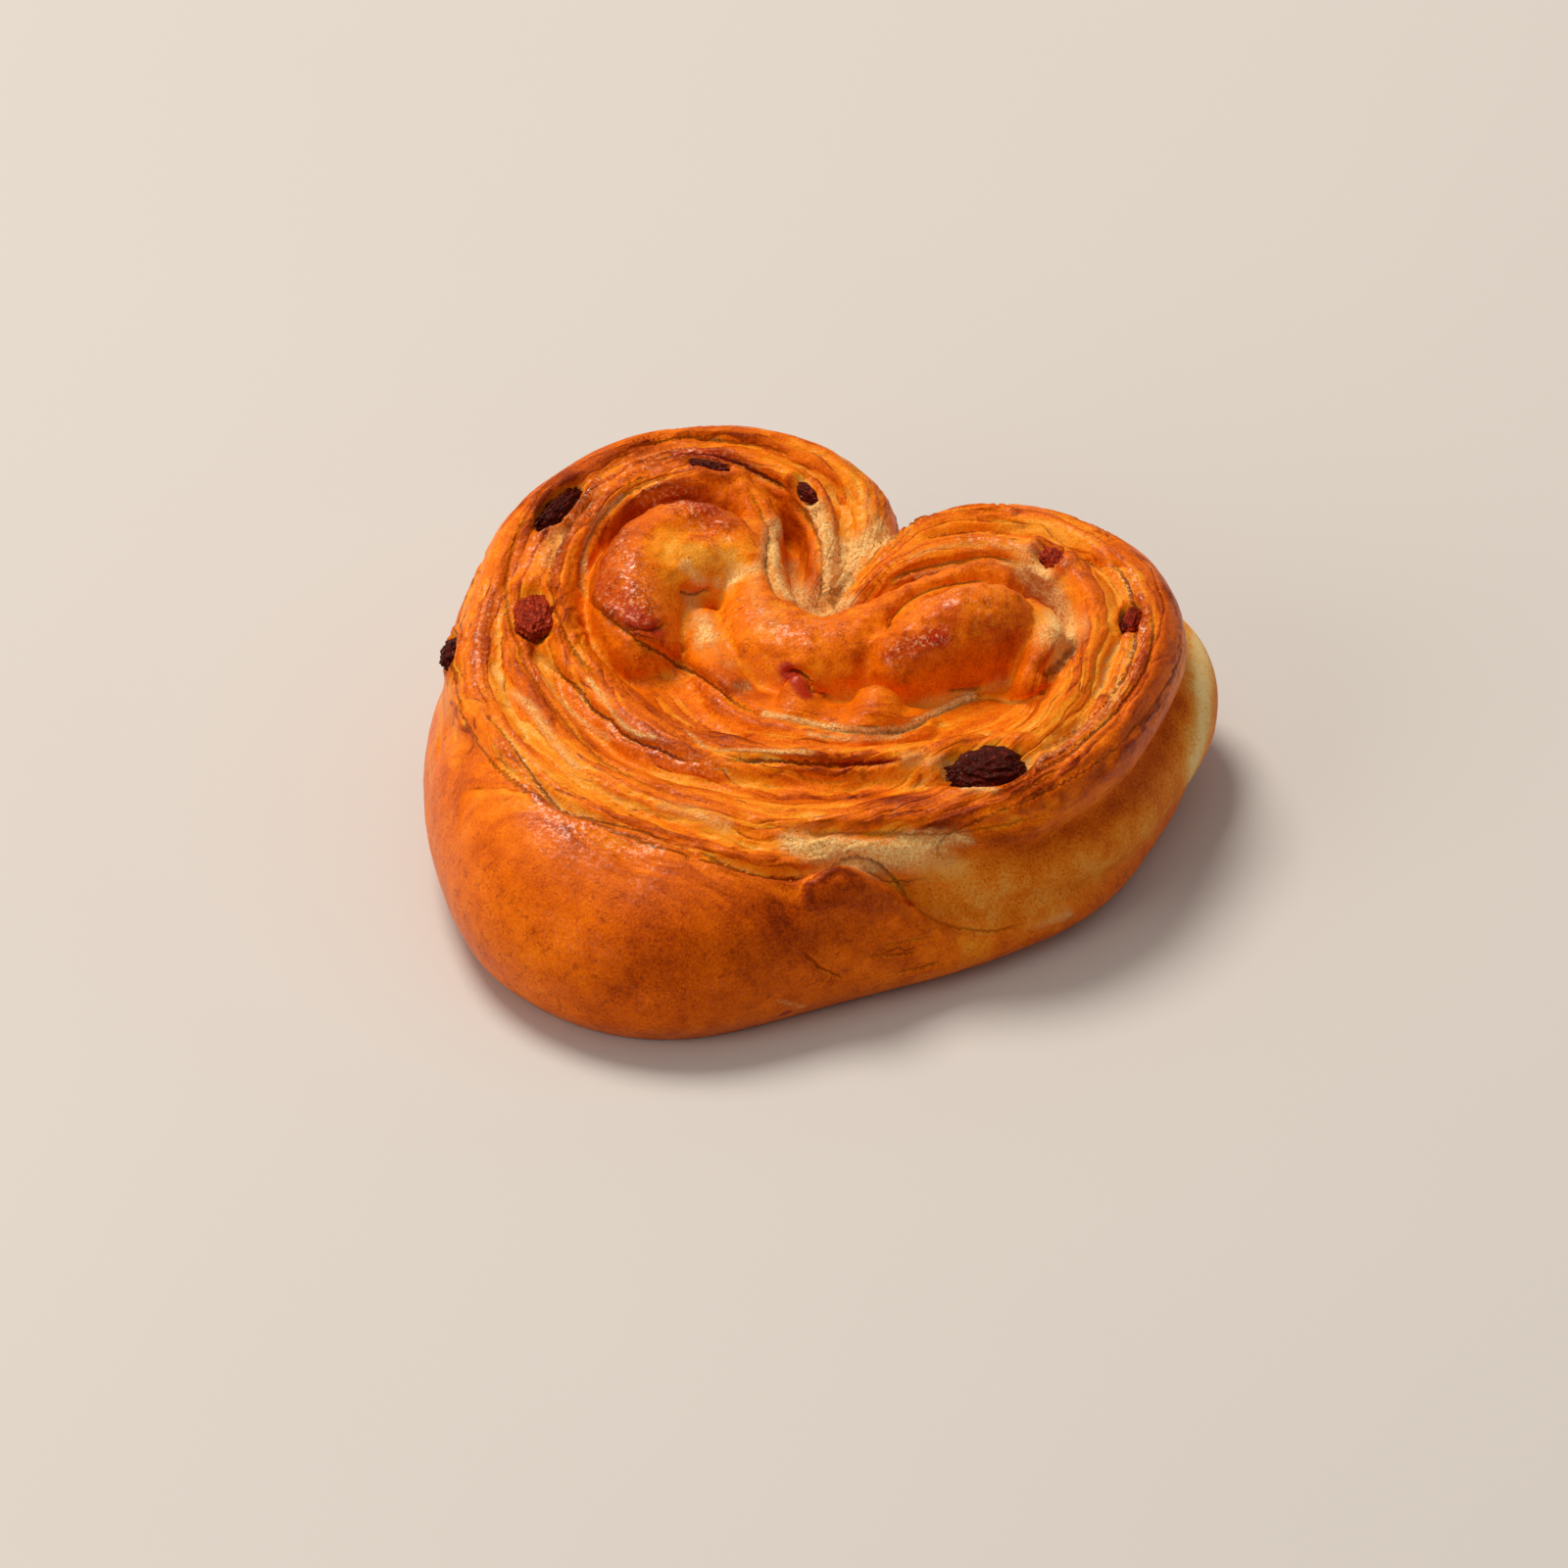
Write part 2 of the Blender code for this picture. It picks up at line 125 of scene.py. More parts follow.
# Coils of dough: (station, share of the way from RIM to WELL, drop below it, half width, half height)
COILS = {
    "outer": [
        (0.2, 0, 3, 2.5, 6), (1, 0, 0, 5, 12), (3, 0.02, 0, 6, 15), (5, 0.02, 0, 6.3, 15),
        (7, 0.05, 0, 5.5, 11), (8, 0.02, 0, 4.8, 8), (9, 0, 0.3, 4.2, 6.5), (10, 0, 0.6, 4, 6),
        (11, 0.05, 1.2, 3.2, 5), (11.6, 0.12, 2.5, 2, 4),
    ],
    "middle": [
        (0.25, 0.5, 0.5, 2.2, 5), (1, 0.45, 0, 3.2, 7.5), (2, 0.4, 0, 3.8, 8), (3.5, 0.4, 0.5, 4, 8),
        (5, 0.45, 0.8, 3.8, 7), (6.5, 0.42, 0.5, 4.2, 7), (8, 0.32, 0, 5.5, 7.5), (9, 0.24, 0, 6.5, 7.5),
        (10, 0.27, 0, 7.2, 7.5), (11, 0.33, 0, 7.2, 7), (12, 0.2, 0, 5.8, 6), (13, 0.03, 0, 5, 5.3),
        (14, 0, 0, 5, 5.3), (15.5, 0, 0, 5.3, 6), (17, 0, 0, 5.6, 9), (18.5, 0.02, 0, 5.2, 9),
        (19.3, 0.05, 0, 4.5, 9), (19.9, 0.1, 1, 2.5, 5),
    ],
    "inner": [
        (1.6, 0.98, 0.5, 3, 7), (3, 0.8, 0, 4, 8), (5, 0.85, 0, 3.6, 8), (6.5, 0.85, 0, 4.2, 7),
        (8, 0.75, 0, 5.8, 7), (9, 0.7, 0, 6.3, 7), (10, 0.82, 0, 5, 6.5), (11, 0.85, 0, 4, 6.5),
        (12, 0.75, 0, 5, 6.5), (13, 0.52, 0, 4.8, 6.5), (14, 0.66, 0, 4.3, 6.5), (16, 0.62, 0, 4.3, 7),
        (18, 0.62, 0, 4.3, 7), (19.2, 0.7, 0, 3.8, 6), (19.9, 0.8, 1, 2.2, 5),
    ],
    "lower": [
        (10.6, 0.15, 3, 3, 5), (11.4, 0.2, 4, 6, 7), (12.2, 0.3, 6.5, 8.5, 8), (13, 0.36, 9, 9.3, 8),
        (14, 0.25, 10, 9.3, 8), (15, 0.1, 11, 8.2, 8), (16, -0.08, 11, 8.6, 8.5), (17, -0.17, 11.5, 9, 9),
        (18.2, -0.05, 14.5, 6.5, 8),
    ],
}

# Folds inside and under the coils: (x, y, crest z, half width, half height)
FOLDS = {
    "left_curl": [
        (-23, -4.5, 31, 3.5, 6), (-27, -1, 34.5, 6, 9), (-30.5, 6, 37, 7, 10), (-31.5, 14, 38, 7, 10),
        (-27.5, 21, 38, 6.5, 10), (-20.5, 20.5, 36.5, 5, 9), (-16.5, 14.5, 34, 4, 8),
    ],
    "right_curl": [
        (7.5, 2.5, 32.5, 4, 6), (12, 7, 36, 6.3, 9), (16.8, 12.2, 38.3, 6.8, 11), (21.8, 16.8, 37.5, 6.2, 10),
        (26, 19.5, 34.5, 4, 7),
    ],
    "bridge": [
        (-22, 29, 35, 3.2, 7), (-17, 21.5, 34.3, 4.2, 8), (-14, 13, 33, 6, 8), (-9.5, 6, 32.8, 8, 8),
        (-1, 5, 33, 7.8, 8), (6, 12, 34.5, 5.2, 8), (11.5, 20, 35.5, 3.8, 7), (17, 24.5, 35.5, 3.5, 7),
        (23, 26, 33.5, 3, 6),
    ],
    "saddle": [
        (-14, -7, 26.8, 4, 3), (-7, -9, 27.7, 6, 4), (2, -9.5, 28, 6.5, 4), (11, -7, 28, 6, 4),
        (19, -2, 26.8, 4, 3),
    ],
    "knob": [
        (1, -12, 28.6, 5, 4), (0, -8.5, 30, 4.5, 4.5), (-1.3, -5.2, 32, 2.2, 4.5),
    ],
    "pleat": [
        (9, -12, 28.6, 3.5, 4), (11, -7, 30, 4.5, 4.5), (10.5, -2.5, 31, 4, 5),
    ],
    "pinch": [
        (13, -44.5, 22, 2.6, 4), (18.5, -39.5, 22.9, 3, 4), (23, -36, 19.2, 2.6, 4), (28, -33.2, 13, 2.2, 4),
        (33, -29.6, 8, 1.8, 3),
    ],
    "left_slope": [
        (-28.5, 7, 34.8, 5, 7), (-27, 12, 36.6, 6, 8), (-23, 16.5, 36.2, 6, 8), (-18.5, 16, 34.2, 4.5, 7),
    ],
    "flank": [
        (-21.5, 8.5, 30.2, 3.2, 5), (-18.5, 4.5, 29.9, 4, 5), (-15.5, 0, 29.4, 4.2, 5), (-13, -4.5, 29, 4, 5),
        (-9, -7.5, 28.8, 3.5, 4),
    ],
    "valley_floor": [
        (23.5, 23.5, 32.6, 3, 5), (28.5, 18.5, 32.2, 3.5, 5), (29.5, 11, 30.8, 3.2, 5), (28.5, 7, 29, 2.4, 4),
    ],
}

# Raisins: (x, y, z of the middle, length, width, height, heading in degrees, share of the height by which
# it has sunk deeper, how far it has baked from black to red-brown)
RAISINS = {
    "raisin_left_ring": (-46.8, 19.5, 34.2, 15.0, 4.3, 5.0, 77.0, 0.18, 0.0),
    "raisin_left_front": (-42.4, -4.0, 31.3, 12.5, 7.2, 5.5, 110.0, 0.2, 0.85),
    "raisin_left_rim": (-52.2, -10.2, 26.2, 8.5, 5.0, 4.5, 95.0, 0.1, 0.0),
    "raisin_left_back": (-30.0, 35.0, 34.9, 9.0, 4.0, 4.0, 0.0, 0.2, 0.1),
    "raisin_notch": (-15.6, 37.2, 33.2, 7.5, 3.2, 4.0, 140.0, 0.25, 0.2),
    "raisin_right_back": (23.7, 33.5, 32.3, 7.5, 5.0, 4.5, 150.0, 0.12, 0.8),
    "raisin_right_side": (39.2, 25.6, 30.3, 7.5, 4.0, 4.5, 100.0, 0.2, 0.7),
    "raisin_front": (31.2, -14.2, 28.0, 14.0, 11.0, 7.0, 35.0, 0.18, 0.0),
}

# The depths of the crust's fine relief, and the seed of its pattern
RELIEF = {
    "Fibre depth": 0.4,
    "Strand depth": 1.7,
    "Flake depth": 0.45,
    "Crumb depth": 0.9,
    "Blister depth": 0.4,
    "Seed": 3.0,
}

# ---- creases and browning

# Each row of these tables ends with the places of a stroke in the picture, in pixels: x, y, x, y and so on.

# Where the dough has cracked or folded over itself:
# (half width, depth, lift of the left bank, lift of the right bank, darkness, places).
# The darkness is painted along the crease: partly the crack's own colour, partly painted shade in the crease.
CREASES = {
    "skin_edge_left": (0.8, 1, 0.1, 0.7, 0.8, 484, 716, 515, 748, 530, 771, 551, 802, 572, 823, 606, 834,
        647, 844, 680, 854, 717, 868),
    "skin_edge_middle": (0.9, 1.1, 0, 0.9, 0.9, 713, 868, 747, 882, 780, 891, 813, 893, 847, 888, 866, 877),
    "skin_edge_lip": (0.9, 1, 0, 0.7, 0.6, 855, 880, 868, 877, 888, 878, 909, 892, 922, 906, 938, 927),
    "skin_edge_low": (0.6, 0.3, 0, 0.25, 0.5, 915, 900, 938, 927, 967, 943, 1013, 950, 1051, 940),
    "pit_left": (1, 1.6, 0, 0.2, 0.7, 694, 598, 705, 606, 716, 606, 728, 598),
    "pit_right": (1.3, 2.2, 0, 0.4, 0.7, 1094, 648, 1086, 664, 1074, 682, 1068, 690),
    "hollow_low": (0.5, 0.7, 0.1, 0.1, 0.6, 968, 704, 985, 703, 1005, 700),
    "curl_left_end": (0.5, 0.5, 0.2, 0, 0.7, 632, 634, 650, 640, 668, 640, 680, 632),
    "under_ring": (1.2, 1.3, 0.4, 0, 0.5, 797, 850, 850, 846, 905, 848, 960, 852, 1013, 846, 1040, 841,
        1076, 828),
    "front_left": (0.7, 0.9, 0.3, 0.2, 0.9, 540, 655, 563, 680, 586, 700, 602, 722, 622, 733, 632, 746,
        654, 757, 671, 762, 697, 774, 730, 776),
    "front_right": (0.6, 0.8, 0.2, 0.2, 0.9, 730, 776, 780, 773, 833, 776, 868, 778, 898, 776, 923, 773),
    "band_left": (0.6, 0.8, 0.5, 0, 0.8, 597, 608, 612, 622, 633, 638, 657, 656, 680, 668, 703, 682, 726, 697,
        758, 719, 790, 736),
    "band_front": (0.5, 0.6, 0.2, 0.2, 0.4, 780, 728, 833, 739, 880, 746, 925, 742, 962, 724, 1000, 710,
        1045, 714, 1083, 690, 1104, 660, 1108, 622),
    "dome_left": (0.6, 0.7, 0.4, 0, 0.4, 700, 478, 660, 489, 636, 504, 613, 530, 598, 560, 593, 590,
        604, 614),
    "outer_left": (0.6, 0.8, 0.3, 0.3, 0.7, 640, 486, 612, 500, 585, 525, 565, 560, 558, 590, 566, 620,
        580, 650, 600, 676, 624, 700),
    "ring_left": (0.5, 0.6, 0.3, 0.1, 0.6, 600, 470, 560, 492, 535, 525, 522, 560, 516, 600, 522, 640,
        545, 690, 580, 735, 620, 775, 680, 806, 740, 818),
    "back_left": (0.7, 1, 0.3, 0.3, 1, 650, 470, 691, 460, 722, 460, 749, 466, 768, 477, 791, 489, 813, 507),
    "back_rim": (0.5, 0.6, 0.2, 0.2, 0.7, 620, 459, 669, 446, 697, 441, 738, 446, 786, 453, 815, 468),
    "tongue_left": (0.8, 1, 0.2, 0.2, 0.6, 762, 492, 775, 515, 786, 540, 785, 575, 796, 604, 815, 622),
    "tongue_right": (0.7, 0.9, 0.2, 0.2, 0.5, 805, 500, 822, 530, 835, 560, 841, 590, 838, 612),
    "ring_right": (0.7, 0.9, 0.2, 0.4, 0.9, 1128, 560, 1146, 585, 1156, 612, 1160, 640, 1150, 680, 1128, 712,
        1098, 742, 1066, 764),
    "ring_right_low": (0.5, 0.6, 0.2, 0.3, 0.8, 1173, 600, 1178, 640, 1170, 680, 1142, 720, 1103, 756,
        1062, 785, 1024, 808, 988, 818),
    "ring_back": (0.5, 0.6, 0.2, 0.2, 0.7, 921, 558, 962, 544, 1009, 540, 1062, 550, 1103, 567, 1132, 584),
    "ring_back_inner": (0.5, 0.6, 0.1, 0.3, 0.5, 905, 590, 935, 580, 980, 570, 1012, 566, 1040, 575),
    "curl_right": (0.6, 0.8, 0, 0.3, 0.5, 900, 650, 915, 622, 945, 600, 985, 592, 1012, 590),
    "knob": (0.5, 0.7, 0.2, 0.3, 0.9, 800, 684, 815, 682, 824, 692, 832, 706, 850, 708),
    "wrinkle_low_a": (0.45, 0.4, 0.2, 0.2, 0.7, 817, 969, 838, 988, 863, 1000),
    "wrinkle_low_b": (0.45, 0.4, 0.2, 0.2, 0.6, 885, 975, 912, 975, 938, 971),
    "wrinkle_low_c": (0.45, 0.4, 0.2, 0.2, 0.6, 915, 993, 938, 989, 962, 982),
    "wrinkle_low_d": (0.45, 0.4, 0.2, 0.2, 0.4, 898, 965, 930, 960, 955, 955),
}

# Pale torn crumb, and one pale painted highlight marked below: (half width, amount, places)
CRUMB_AND_PAINTED_HIGHLIGHT = {
    "left_strip": (1, 0.65, 520, 703, 541, 722, 560, 748, 588, 782),
    "left_edge": (0.8, 0.4, 597, 796, 618, 808, 640, 822),
    "left_thin": (0.5, 0.5, 586, 675, 602, 692, 624, 712),
    "front_patches": (1.5, 0.5, 676, 819, 705, 826, 740, 842),
    "front_torn": (2.2, 0.85, 806, 858, 835, 863, 870, 867, 905, 872, 926, 868),
    "front_torn_wide": (3.6, 0.5, 840, 868, 890, 876, 940, 876, 965, 872),
    "front_tail": (1.4, 0.45, 926, 858, 960, 857, 985, 854),
    "notch_left": (2.6, 0.95, 790, 538, 792, 576, 802, 600, 818, 618, 836, 623, 860, 614),
    "notch_right": (2, 1, 831, 512, 845, 549, 851, 580, 846, 606),
    "notch_edge": (2.6, 1.1, 856, 596, 864, 570, 878, 556, 902, 546),
    "notch_deep": (2, 0.6, 805, 575, 806, 590, 816, 604),
    "flank": (2, 0.7, 706, 612, 713, 630, 720, 646),
    "flank_low": (2.6, 0.35, 718, 648, 728, 664, 740, 674),
    "valley_right": (3.4, 0.95, 1052, 588, 1072, 602, 1086, 628, 1080, 650),
    "valley_edge": (0.9, 0.8, 1043, 583, 1062, 586),
    "ring_strip": (0.9, 0.5, 1152, 685, 1122, 728, 1087, 757, 1062, 775),
    # Painted highlight: a pale band where light catches the left ring's crackled glaze, not torn crumb
    "left_ring_painted_highlight": (1.6, 0.4, 598, 510, 575, 538, 555, 572),
    "hollow_rim": (1.2, 0.7, 700, 575, 715, 590, 740, 592, 765, 578),
    "bridge_top": (2.4, 0.35, 752, 590, 770, 600, 790, 640),
    "left_lines_a": (0.45, 0.8, 600, 690, 618, 716, 640, 742, 668, 752),
    "left_lines_b": (0.45, 0.8, 553, 690, 570, 712, 596, 735, 620, 752),
    "ring_line_right": (0.5, 0.5, 935, 586, 985, 574, 1030, 572),
    "ring_back_thin": (0.6, 0.5, 930, 565, 980, 552, 1040, 556, 1090, 575),
    "low_band_line": (0.5, 0.8, 700, 742, 724, 760, 770, 764, 830, 766),
    "valley_low": (1.5, 0.4, 945, 713, 986, 704, 1024, 692),
    "band_line": (0.6, 0.95, 780, 726, 833, 736, 877, 744, 921, 741, 956, 724, 992, 708),
    "band_line_low": (0.5, 0.7, 824, 747, 877, 754, 921, 750),
    "by_raisin": (1.6, 0.6, 927, 774, 962, 776, 968, 786),
    "under_raisin": (1, 0.7, 986, 806, 1015, 804),
    "by_knob": (1.5, 0.3, 752, 702, 791, 690),
    "dome_band": (0.6, 0.8, 636, 502, 613, 524, 598, 556, 597, 582),
    "lobe_edge": (1.5, 0.4, 880, 500, 896, 525, 906, 550),
    "foot_right": (1, 0.6, 1060, 944, 1092, 932),
    "foot_streak": (0.5, 0.5, 792, 1021, 822, 1029),
}

# Red-brown places, where the glaze has caught: (half width, amount, places)
RUDDY = {
    "left_dome": (3.6, 0.6, 648, 520, 690, 503, 724, 520),
    "left_side": (2.8, 0.5, 625, 548, 614, 590, 636, 620),
    "left_end": (2, 0.8, 650, 632, 670, 642),
    "right_spot": (1.8, 0.65, 908, 668, 930, 657, 957, 648),
    "right_top": (3.6, 0.5, 960, 622, 1000, 640, 1040, 652),
    "knob": (1.5, 1.3, 802, 682, 812, 692, 822, 706),
    "red_streak": (0.7, 1, 860, 777, 893, 776, 918, 773),
    "left_crease": (1, 0.6, 600, 715, 625, 740, 660, 762, 700, 778),
    "ring_right": (1.5, 0.6, 1060, 775, 1103, 745, 1140, 712, 1163, 670, 1168, 620, 1152, 580),
    "back_right": (1.6, 0.7, 1058, 558, 1075, 569, 1088, 578),
    "left_ring": (2.8, 0.4, 520, 600, 500, 650, 478, 690),
    "back_left": (1.2, 0.9, 691, 459, 722, 459, 749, 466, 768, 477),
    "skin_edge": (1.2, 0.5, 486, 720, 515, 748, 551, 802, 580, 826, 640, 842, 700, 862),
    "lip": (0.8, 0.4, 860, 880, 888, 881, 909, 894),
    "tongue": (2, 0.5, 800, 500, 815, 540, 830, 590),
    "foot_spot": (0.9, 1.6, 799, 1036, 803, 1034),
    "lip_spot": (0.8, 1, 922, 920, 930, 922),
}

# Places where the glaze lies thick, crackled and shiny, made glossier and flecked with pale painted glints, a
# painted highlight: (half width, amount, places)
SHINE = {
    "left_curl_side": (2.2, 1, 632, 545, 642, 578, 655, 618),
    "left_curl_top": (2.8, 0.8, 668, 505, 705, 515, 728, 545),
    "left_curl_low": (2, 0.6, 612, 590, 620, 615, 640, 636),
    "right_curl": (1.6, 1, 908, 664, 930, 654, 957, 648),
    "right_curl_top": (2.4, 0.5, 940, 615, 975, 606, 1005, 612),
    "ring_strip": (1.6, 0.9, 1154, 585, 1163, 640, 1140, 700, 1105, 745, 1060, 778),
    "left_ring": (2.2, 1, 596, 512, 570, 540, 552, 575),
    "left_ring_outer": (2.6, 0.6, 500, 610, 482, 650, 490, 700),
    "left_ring_low": (2, 0.6, 545, 680, 580, 716, 620, 745),
    "left_ring_back": (1.8, 0.8, 600, 500, 640, 476, 685, 462),
    "left_ring_top": (1.6, 0.6, 700, 455, 740, 462, 775, 480),
    "right_ring_back": (1.6, 0.6, 985, 547, 1045, 552, 1095, 575),
    "bridge": (3, 0.5, 760, 615, 790, 630, 830, 640),
    "skin_fold": (2.4, 0.6, 520, 760, 560, 826, 610, 856, 660, 862),
    "front_crease": (1.4, 0.7, 640, 745, 690, 772, 740, 782),
    "inner_dip": (1.4, 0.6, 690, 688, 712, 698, 735, 712),
}

# The soft side of the roll that swelled out under the right-hand coil: (half width, amount, places)
BULGE = {
    "under_coil": (6.5, 0.8, 985, 880, 1060, 872, 1120, 845, 1180, 790, 1214, 720, 1222, 650, 1208, 612),
    "foot": (5, 0.7, 960, 905, 1010, 922, 1060, 915, 1130, 880, 1190, 820, 1228, 740),
}

# Broad browning, darker above zero and paler below: (half width, amount, places). Strokes marked below also
# paint shade and highlights.
BROWNING_AND_PAINTED_LIGHT = {
    # The lower and middle skin, here and on the next line: real browning, darkened further by painted shade
    # where the skin turns away from the light
    "skin_low_browned_and_shaded": (9, 0.2, 640, 1020, 720, 1015, 800, 960, 860, 940),
    "skin_middle_browned_and_shaded": (7, 0.18, 690, 910, 780, 925, 870, 940, 930, 955),
    "ring_right": (3, 0.33, 1190, 600, 1196, 660, 1172, 728, 1112, 782, 1050, 812),
    "ring_back_right": (2.4, 0.05, 960, 530, 1040, 522, 1110, 545, 1160, 580),
    "ring_back_left": (2.4, 0.22, 540, 510, 580, 478, 640, 455, 720, 441, 790, 450),
    # Painted shade: the left ring darkened where it faces the key light most
    "ring_left": (4, 0.12, 560, 500, 520, 570, 500, 640),
    "ring_left_low": (4, 0.1, 500, 660, 540, 700, 600, 760),
    "front_band": (3.5, 0.26, 800, 805, 860, 812, 940, 816, 975, 822),
    "inner_band": (3.5, 0.2, 650, 700, 700, 745, 760, 755),
    "saddle": (4, 0.18, 720, 690, 760, 700, 820, 720, 890, 722),
    "curl_left": (5.5, 0.25, 615, 590, 625, 550, 650, 520, 690, 500, 735, 525),
    "curl_left_low": (3.5, 0.15, 630, 620, 660, 630),
    "curl_right": (4.5, 0.18, 930, 670, 980, 680, 1030, 665),
    # The left hollow's own golden colour, painted paler still as painted light against the shade in the
    # hollow
    "hollow_left_golden_and_painted_light": (4, -0.28, 690, 560, 715, 575, 748, 562),
    "valley_right": (3.5, -0.25, 1048, 590, 1076, 615, 1085, 645),
    "tongue": (2, 0.08, 800, 500, 815, 540, 830, 590),
    "bridge": (4, 0.02, 740, 640, 790, 640),
    "left_lobe_edge": (3, -0.15, 860, 500, 885, 520, 900, 545),
    "bulge_shade": (3, 0.3, 960, 860, 1040, 862, 1110, 838, 1170, 790, 1203, 720),
    "bulge_far": (3, -0.5, 1214, 605, 1226, 660, 1229, 730, 1218, 790),
    "bulge_front": (3, -0.18, 920, 874, 950, 880, 975, 884),
    # Painted highlight: the back of the right ring painted paler where light catches its glaze
    "ring_back_top_painted_highlight": (2.4, -0.38, 940, 541, 1000, 530, 1060, 534, 1110, 550),
    "ring_back_far": (2.2, 0.22, 585, 482, 620, 465, 660, 450),
    "ring_left_high": (2.4, -0.16, 540, 530, 520, 560, 512, 590),
    # Real browning of the middle skin, darkened further by painted shade
    "skin_mid_browned_and_shaded": (7, 0.14, 590, 880, 630, 920, 650, 960),
    "skin_left": (7, 0.06, 470, 800, 490, 850, 520, 910),
    "band_low": (2.6, 0.16, 860, 806, 900, 812, 940, 812),
    "band_middle": (1.6, -0.15, 735, 757, 770, 762, 810, 763),
    "bridge_right": (4, 0.1, 840, 640, 870, 640, 890, 650),
    "valley_edge": (2, 0.08, 1100, 620, 1102, 645, 1096, 670),
    "knob_face": (2, -0.15, 792, 712, 812, 716, 834, 716),
    "pleat": (2.4, -0.1, 860, 700, 880, 700, 900, 704),
    "skin_right": (6, -0.14, 860, 960, 930, 960, 990, 965),
}


# ---- node trees as expressions


def maths(operation, swapped=False):
    """A method that adds a Math node for its value, or for its value and another."""

    def method(self, *others):
        values = (self, *others)
        values = dict(enumerate(values[::-1] if swapped else values))
        return self.graph.node("ShaderNodeMath", {"operation": operation}, values)

    return method


class Value:
    """A socket of a node tree. Arithmetic on values adds the Math nodes for it."""

    __add__ = __radd__ = maths("ADD")
    __mul__ = __rmul__ = maths("MULTIPLY")
    __sub__, __rsub__ = maths("SUBTRACT"), maths("SUBTRACT", swapped=True)
    size, least, most = maths("ABSOLUTE"), maths("MINIMUM"), maths("MAXIMUM")

    def __init__(self, graph, socket):
        self.graph, self.socket = graph, socket

    def clamped(self):
        return self.most(0.0).least(1.0)

    def step(self, low, high):
        """0 up to low, 1 from high on, and a soft rise between them."""
        settings = {"interpolation_type": "SMOOTHSTEP"}
        return self.graph.node("ShaderNodeMapRange", settings, {0: self, 1: low, 2: high, 3: 0.0, 4: 1.0})

    def times(self, x, y, z):
        return self.graph.joined("MULTIPLY", self, (x, y, z))

    def scaled(self, factor):
        return self.graph.node("ShaderNodeVectorMath", {"operation": "SCALE"}, {0: self, 3: factor})


class Graph:
    """A shader or geometry node tree."""

    def __init__(self, tree):
        self.tree = tree

    def node(self, kind, settings=None, sockets=None, out=0):
        """Adds a node: its settings first, then its sockets' values or links. Gives the output asked for."""
        made = self.tree.nodes.new(kind)
        for name, value in (settings or {}).items():
            if name == "stops":
                self.set_stops(made.color_ramp, value)
            else:
                setattr(made, name, value)
        for key, value in (sockets or {}).items():
            if isinstance(value, Value):
                self.tree.links.new(value.socket, made.inputs[key])
            else:
                made.inputs[key].default_value = value
        return Value(self, made.outputs[out]) if made.outputs else made

    @staticmethod
    def set_stops(ramp, stops):
        while len(ramp.elements) < len(stops):
            ramp.elements.new(0.5)
        for element, (place, colour) in zip(ramp.elements, stops):
            element.position, element.color = place, colour

    def noise(self, place, scale, detail=3.0, roughness=0.5, out=0):
        sockets = {"Vector": place, "Scale": scale, "Detail": detail, "Roughness": roughness}
        return self.node("ShaderNodeTexNoise", None, sockets, out)

    def cells(self, place, scale, feature="F1", out=0):
        return self.node("ShaderNodeTexVoronoi", {"feature": feature}, {"Vector": place, "Scale": scale}, out)

    def joined(self, operation, first, second, out=0):
        return self.node("ShaderNodeVectorMath", {"operation": operation}, {0: first, 1: second}, out)

    def wander(self, place, scale, detail, roughness, reach):
        """A soft drift with no mean: up to about half of reach (x, y, z) either way."""
        drift = self.noise(place, scale, detail, roughness, "Color")
        return self.joined("ADD", drift, (-0.5, -0.5, -0.5)).times(*reach)

    def mix(self, share, first, second):
        settings = {"data_type": "RGBA", "blend_type": "MIX", "clamp_factor": True}
        return self.node("ShaderNodeMix", settings, {0: share, 6: first, 7: second}, 2)

    def ramp(self, value, stops):
        stops = [(place, srgb(*colour)) for place, *colour in stops]
        return self.node("ShaderNodeValToRGB", {"stops": stops}, {0: value})

    def kept(self, name, out="Fac"):
        """What keep() or stored() has left on the mesh, for a material."""
        return self.node("ShaderNodeAttribute", {"attribute_name": name}, None, out)

    def stored(self, geometry, name, value):
        sockets = {"Geometry": geometry, "Name": name, "Value": value}
        return self.node("GeometryNodeStoreNamedAttribute", {"data_type": "FLOAT"}, sockets)


def group(name, sockets):
    """A new geometry node tree with named inputs: its graph, and its inputs as values."""
    tree = bpy.data.node_groups.new(name, "GeometryNodeTree")
    for title, kind in {"Geometry": "Geometry", **sockets}.items():
        tree.interface.new_socket(title, in_out="INPUT", socket_type="NodeSocket" + kind)
    tree.interface.new_socket("Geometry", in_out="OUTPUT", socket_type="NodeSocketGeometry")
    g = Graph(tree)
    return g, {s.name: Value(g, s) for s in g.node("NodeGroupInput").socket.node.outputs}


def finish_group(g, geometry, coat):
    """Makes the instances real, sets the material and ends the tree."""
    real = g.node("GeometryNodeRealizeInstances", None, {"Geometry": geometry})
    coated = g.node("GeometryNodeSetMaterial", None, {"Geometry": real, "Material": coat})
    g.node("NodeGroupOutput", None, {"Geometry": coated})
    return g.tree


def srgb(red, green, blue):
    """A colour given as 0 to 255 in the way that pictures store it."""
    levels = (red, green, blue)
    return tuple(((c / 255 + 0.055) / 1.055) ** 2.4 if c > 10 else c / 255 / 12.92 for c in levels) + (1.0,)


# ---- curves, lofts and distances


